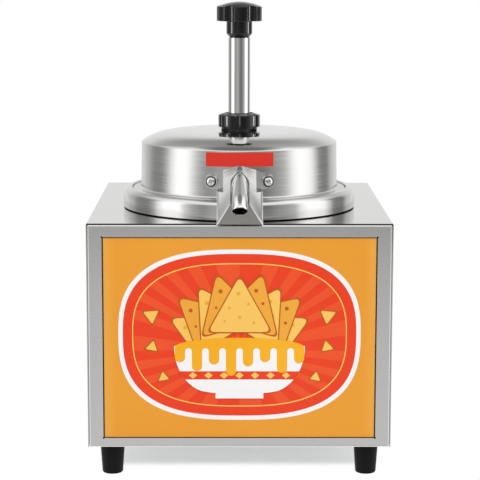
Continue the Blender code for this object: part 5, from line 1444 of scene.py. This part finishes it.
def build_rear():
    black = LOOKS["mark_black"]
    dial_low, dial_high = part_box("thermostat_knob")
    centre = (dial_low + dial_high) / 2
    tick = rectangle(TICK_REACH - TICK_HALF_LENGTH, TICK_REACH + TICK_HALF_LENGTH,
                     -TICK_HALF_WIDTH, TICK_HALF_WIDTH)
    marks = []
    for index in range(DIAL_MARKS):
        angle = math.radians(90 - DIAL_TURN * index / (DIAL_MARKS - 1))
        place = outward(centre.x, BACK_Y, centre.z) @ Matrix.Rotation(angle, 4, "Z")
        marks.append(prism(f"dial_tick_{index}", tick, 0, TICK_THICKNESS, black, place))
        shift = Matrix.Translation((NUMBER_REACH * math.cos(angle),
                                    NUMBER_REACH * math.sin(angle), 0))
        place = outward(centre.x, BACK_Y + MARK_LIFT, centre.z) @ shift
        marks.append(lettering(f"dial_number_{index}", str(index), NUMBER_SIZE, place, black))
    switch_low, switch_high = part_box("switch_housing")
    switch = (switch_low + switch_high) / 2
    for words, rise in (("ON", WORD_RISE), ("OFF", -WORD_RISE)):
        place = outward(switch.x, BACK_Y + MARK_LIFT, switch.z + rise)
        marks.append(lettering(f"switch_{words.lower()}", words, WORD_SIZE, place, black))
    settle(joined("rear_marks", marks), "cabinet", "control_plastic")

    outline = rectangle(-POINTER_HALF_WIDTH, POINTER_HALF_WIDTH, POINTER_NEAR, POINTER_FAR)
    pointer = prism("dial_pointer", outline, 0, POINTER_THICKNESS, LOOKS["mark_white"],
                    outward(centre.x, dial_high.y - POINTER_SUNK, centre.z))
    settle(pointer, "dial", "control_plastic")

    screws = []
    for x in (-REAR_SCREW_X, REAR_SCREW_X):
        for z in (BASE_Z + REAR_SCREW_INSET, (BASE_Z + TOP_Z) / 2, TOP_Z - REAR_SCREW_INSET):
            screws.append(pan_screw(f"rear_screw_{len(screws)}", outward(x, BACK_Y, z),
                                    REAR_SCREW_RADIUS, REAR_SCREW_HEIGHT, LOOKS["screw_steel"]))
    settle(joined("rear_screws", screws), "cabinet", "pump_steel")


# Materials on the CAD's own nodes

NODE_LOOKS = {
    "wrap_steel": ["cabinet_wrap"],
    "rear_steel": ["rear_panel"],
    "frame_steel": ["front_frame"],
    "pot_steel": ["food_pot", "well_bowl"],
    "pump_steel": ["pump_barrel", "valve_body", "guide_collar", "inlet_ball", "outlet_ball",
                   "return_spring"],
    "sign_print": ["sign_panel"],
    "control_plastic": ["thermostat_knob", "switch_housing", "switch_rocker", "cord_gland"],
    "gasket_rubber": ["lid_washer"],
    "seal_rubber": ["piston_seal"],
    "zinc_steel": ["bottom_pan", "sign_channel_left", "sign_channel_right", "lamp_tray",
                   "heater_clamp"],
    "jacket_blanket": ["insulation_jacket"],
    "heater_sheath": ["heater_ring"],
    "lamp_glass": ["lamp_tube"],
    "pilot_lens": ["indicator_lamp"],
    "white_resin": ["guide_bush", "piston", "valve_foot", "lamp_holder_left",
                    "lamp_holder_right", "thermostat_body", "terminal_block"],
}


def dress_nodes():
    for look, nodes in NODE_LOOKS.items():
        for node in nodes:
            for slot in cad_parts[node].material_slots:
                slot.material = LOOKS[look]


# Floor, world and camera

FLOOR_RADIUS = 1.5
FLOOR_EDGE_STEPS = 96
FLOOR_FADE = (0.0, 0.022)
SHADE_HALF_WIDTH = 0.106
SHADE_FRONT = 0.081
SHADE_BACK = 0.115
FLOOR_LIFT = 0.36


def build_floor():
    mesh_data = bmesh.new()
    bmesh.ops.create_circle(mesh_data, cap_ends=True, radius=FLOOR_RADIUS,
                            segments=FLOOR_EDGE_STEPS)
    mesh = bpy.data.meshes.new("floor")
    mesh_data.to_mesh(mesh)
    mesh_data.free()
    floor = bpy.data.objects.new("floor", mesh)
    bpy.context.scene.collection.objects.link(floor)

    make = Nodes("floor_white")
    floor.data.materials.append(make.look)
    make.set(Base_Color=(0.78, 0.78, 0.78, 1), Roughness=0.9)
    split = make.add("ShaderNodeSeparateXYZ")
    make.link(make.place(), split.inputs["Vector"])
    beyond = []
    depth = make.math("SUBTRACT", split.outputs[1], (SHADE_BACK - SHADE_FRONT) / 2)
    for socket, half in ((split.outputs[0], SHADE_HALF_WIDTH),
                         (depth, (SHADE_BACK + SHADE_FRONT) / 2)):
        past = make.math("SUBTRACT", make.math("ABSOLUTE", socket), half)
        beyond.append(make.math("MAXIMUM", past, 0.0))
    squares = [make.math("MULTIPLY", value, value) for value in beyond]
    distance = make.math("SQRT", make.math("ADD", squares[0], squares[1]))
    fade = make.add("ShaderNodeMapRange", interpolation_type="SMOOTHSTEP")
    make.link(distance, fade.inputs["Value"])
    fade.inputs["From Min"].default_value = FLOOR_FADE[0]
    fade.inputs["From Max"].default_value = FLOOR_FADE[1]
    rays = make.add("ShaderNodeLightPath")
    seen = rays.outputs["Is Camera Ray"]
    for other in ("Is Glossy Ray", "Is Transmission Ray"):
        seen = make.math("MAXIMUM", seen, rays.outputs[other])
    white = make.add("ShaderNodeEmission")
    white.inputs["Strength"].default_value = 1.0
    lift = make.add("ShaderNodeEmission")
    make.link(make.math("MULTIPLY", seen, FLOOR_LIFT), lift.inputs["Strength"])
    near = make.add("ShaderNodeAddShader")
    make.link(make.shader.outputs[0], near.inputs[0])
    make.link(lift.outputs[0], near.inputs[1])
    mix = make.add("ShaderNodeMixShader")
    make.link(make.math("MULTIPLY", fade.outputs["Result"], seen), mix.inputs[0])
    make.link(near.outputs[0], mix.inputs[1])
    make.link(white.outputs[0], mix.inputs[2])
    make.link(mix.outputs[0], make.tree.nodes["Material Output"].inputs["Surface"])


# Brightness of the studio round the object at angles from straight behind it, by the left, the
# camera's side in the middle and the right, to behind again: near the horizon and higher up
STUDIO_LOW = [(-180, 0.88), (-150, 0.88), (-132, 0.62), (-118, 0.30), (-102, 0.27), (-94, 0.5),
              (-86, 1.25), (-78, 1.65), (-62, 1.65), (-54, 0.85), (-46, 0.5), (-36, 0.33),
              (-24, 0.50), (-12, 0.48), (0, 0.32), (16, 0.20), (28, 0.22), (42, 0.40), (56, 0.6),
              (64, 1.35), (72, 1.65), (92, 1.5), (100, 0.85), (107, 0.26), (124, 0.24),
              (134, 0.70), (150, 0.88), (180, 0.88)]
STUDIO_HIGH = [(-180, 0.36), (-140, 0.50), (-115, 1.0), (-80, 1.35), (-50, 1.1), (-25, 1.2),
               (0, 1.25), (25, 1.2), (50, 1.2), (80, 1.5), (115, 1.1), (140, 0.6), (180, 0.36)]
ZENITH = 0.22
LOW_TO_HIGH = (16, 42)
HIGH_TO_ZENITH = (58, 80)


def build_world():
    world = bpy.data.worlds.new("studio")
    bpy.context.scene.world = world
    world.use_nodes = True
    tree = world.node_tree
    tree.nodes.clear()

    def add(kind, **settings):
        node = tree.nodes.new(kind)
        for key, value in settings.items():
            setattr(node, key, value)
        return node

    def math_node(operation, *values):
        node = add("ShaderNodeMath", operation=operation)
        for index, value in enumerate(values):
            if isinstance(value, (int, float)):
                node.inputs[index].default_value = value
            else:
                tree.links.new(value, node.inputs[index])
        return node.outputs[0]

    split = add("ShaderNodeSeparateXYZ")
    tree.links.new(add("ShaderNodeTexCoord").outputs["Generated"], split.inputs[0])
    x, y, z = split.outputs
    turn = math_node("ARCTAN2", x, math_node("MULTIPLY", y, -1.0))
    share = math_node("MULTIPLY_ADD", turn, 1 / (2 * math.pi), 0.5)

    def ring(stops):
        ramp = add("ShaderNodeValToRGB")
        ramp.color_ramp.interpolation = "EASE"
        peak = max(value for angle, value in stops)
        elements = ramp.color_ramp.elements
        elements.remove(elements[-1])
        for index, (angle, value) in enumerate(stops):
            position = angle / 360 + 0.5
            element = elements[0] if index == 0 else elements.new(position)
            element.position = position
            element.color = (value / peak, value / peak, value / peak, 1)
        tree.links.new(share, ramp.inputs[0])
        return math_node("MULTIPLY", ramp.outputs["Color"], peak)

    def rising(angles, low, high):
        """Goes from low to high as the view direction rises through two angles."""
        step = add("ShaderNodeMapRange", interpolation_type="SMOOTHSTEP")
        tree.links.new(z, step.inputs["Value"])
        step.inputs["From Min"].default_value = math.sin(math.radians(angles[0]))
        step.inputs["From Max"].default_value = math.sin(math.radians(angles[1]))
        mix = add("ShaderNodeMix", data_type="FLOAT")
        tree.links.new(step.outputs["Result"], mix.inputs["Factor"])
        for value, socket in ((low, "A"), (high, "B")):
            if isinstance(value, float):
                mix.inputs[socket].default_value = value
            else:
                tree.links.new(value, mix.inputs[socket])
        return mix.outputs["Result"]

    light = rising(LOW_TO_HIGH, ring(STUDIO_LOW), ring(STUDIO_HIGH))
    light = rising(HIGH_TO_ZENITH, light, ZENITH)
    rays = add("ShaderNodeLightPath")
    strength = add("ShaderNodeMix", data_type="FLOAT")
    tree.links.new(rays.outputs["Is Camera Ray"], strength.inputs["Factor"])
    tree.links.new(light, strength.inputs["A"])
    strength.inputs["B"].default_value = 1.0
    background = add("ShaderNodeBackground")
    background.inputs["Color"].default_value = (1, 1, 1, 1)
    tree.links.new(strength.outputs["Result"], background.inputs["Strength"])
    tree.links.new(background.outputs[0], add("ShaderNodeOutputWorld").inputs["Surface"])


FRONT_LAMP_PLACE = Vector((0.0, -1.9, 1.55))
FRONT_LAMP_SIZE = 0.9
FRONT_LAMP_POWER = 16


def build_lamp():
    lamp_data = bpy.data.lights.new("front_lamp", "AREA")
    lamp_data.shape = "SQUARE"
    lamp_data.size = FRONT_LAMP_SIZE
    lamp_data.energy = FRONT_LAMP_POWER
    lamp = bpy.data.objects.new("front_lamp", lamp_data)
    bpy.context.scene.collection.objects.link(lamp)
    aim = Vector((0, 0, 0.15)) - FRONT_LAMP_PLACE
    lamp.location = FRONT_LAMP_PLACE
    lamp.rotation_euler = aim.to_track_quat("-Z", "Y").to_euler()
    lamp.visible_glossy = False


STRIP_LAMP_TURNS = (-72, 88)
STRIP_LAMP_DISTANCE = 1.6
STRIP_LAMP_WIDTH = 0.22
STRIP_LAMP_HEIGHT = 1.2
STRIP_LAMP_POWER = 9
STRIP_LAMP_AIM = 0.32


def build_strip_lamps(pieces):
    """Tall narrow lamps that light only the glossy black mouldings."""
    lit = bpy.data.collections.new("lit_by_strips")
    for piece in pieces:
        lit.objects.link(piece)
    for index, turn in enumerate(STRIP_LAMP_TURNS):
        lamp_data = bpy.data.lights.new(f"strip_lamp_{index}", "AREA")
        lamp_data.shape = "RECTANGLE"
        lamp_data.size = STRIP_LAMP_WIDTH
        lamp_data.size_y = STRIP_LAMP_HEIGHT
        lamp_data.energy = STRIP_LAMP_POWER
        lamp = bpy.data.objects.new(f"strip_lamp_{index}", lamp_data)
        bpy.context.scene.collection.objects.link(lamp)
        angle = math.radians(turn)
        lamp.location = PUMP_AXIS + Vector((STRIP_LAMP_DISTANCE * math.sin(angle),
                                            -STRIP_LAMP_DISTANCE * math.cos(angle),
                                            STRIP_LAMP_AIM))
        aim = PUMP_AXIS + Vector((0, 0, STRIP_LAMP_AIM)) - lamp.location
        lamp.rotation_euler = aim.to_track_quat("-Z", "Y").to_euler()
        lamp.visible_camera = False
        lamp.light_linking.receiver_collection = lit


CAMERA_PLACE = Vector((-0.00959, -1.57374, 0.4328))
CAMERA_PITCH = 0.1581
CAMERA_YAW = 0.0068
CAMERA_ROLL = 0.002
CAMERA_LENS = 132.39


def build_camera():
    forward = Vector((math.sin(CAMERA_YAW) * math.cos(CAMERA_PITCH),
                      math.cos(CAMERA_YAW) * math.cos(CAMERA_PITCH), -math.sin(CAMERA_PITCH)))
    right = Vector((math.cos(CAMERA_YAW), -math.sin(CAMERA_YAW), 0))
    up = right.cross(forward)
    across = math.cos(CAMERA_ROLL) * right + math.sin(CAMERA_ROLL) * up
    above = math.cos(CAMERA_ROLL) * up - math.sin(CAMERA_ROLL) * right
    camera_data = bpy.data.cameras.new("camera")
    camera_data.lens = CAMERA_LENS
    camera_data.sensor_width = 36
    camera_data.clip_end = 20
    camera = bpy.data.objects.new("camera", camera_data)
    bpy.context.scene.collection.objects.link(camera)
    turn = Matrix((across, above, -forward)).transposed().to_4x4()
    camera.matrix_world = Matrix.Translation(CAMERA_PLACE) @ turn
    bpy.context.scene.camera = camera


def main():
    bpy.context.scene.view_settings.view_transform = "Standard"
    build_camera()
    build_world()
    build_lamp()
    build_floor()
    dress_nodes()
    build_collar()
    build_lid()
    build_strip()
    build_spout()
    build_guard()
    build_spout_screws()
    build_strip_lamps([build_plunger(), build_nut()])
    build_feet()
    build_sign()
    build_window_seal()
    build_notches()
    build_frame_bends()
    build_rear()


main()
bpy.context.view_layer.update()
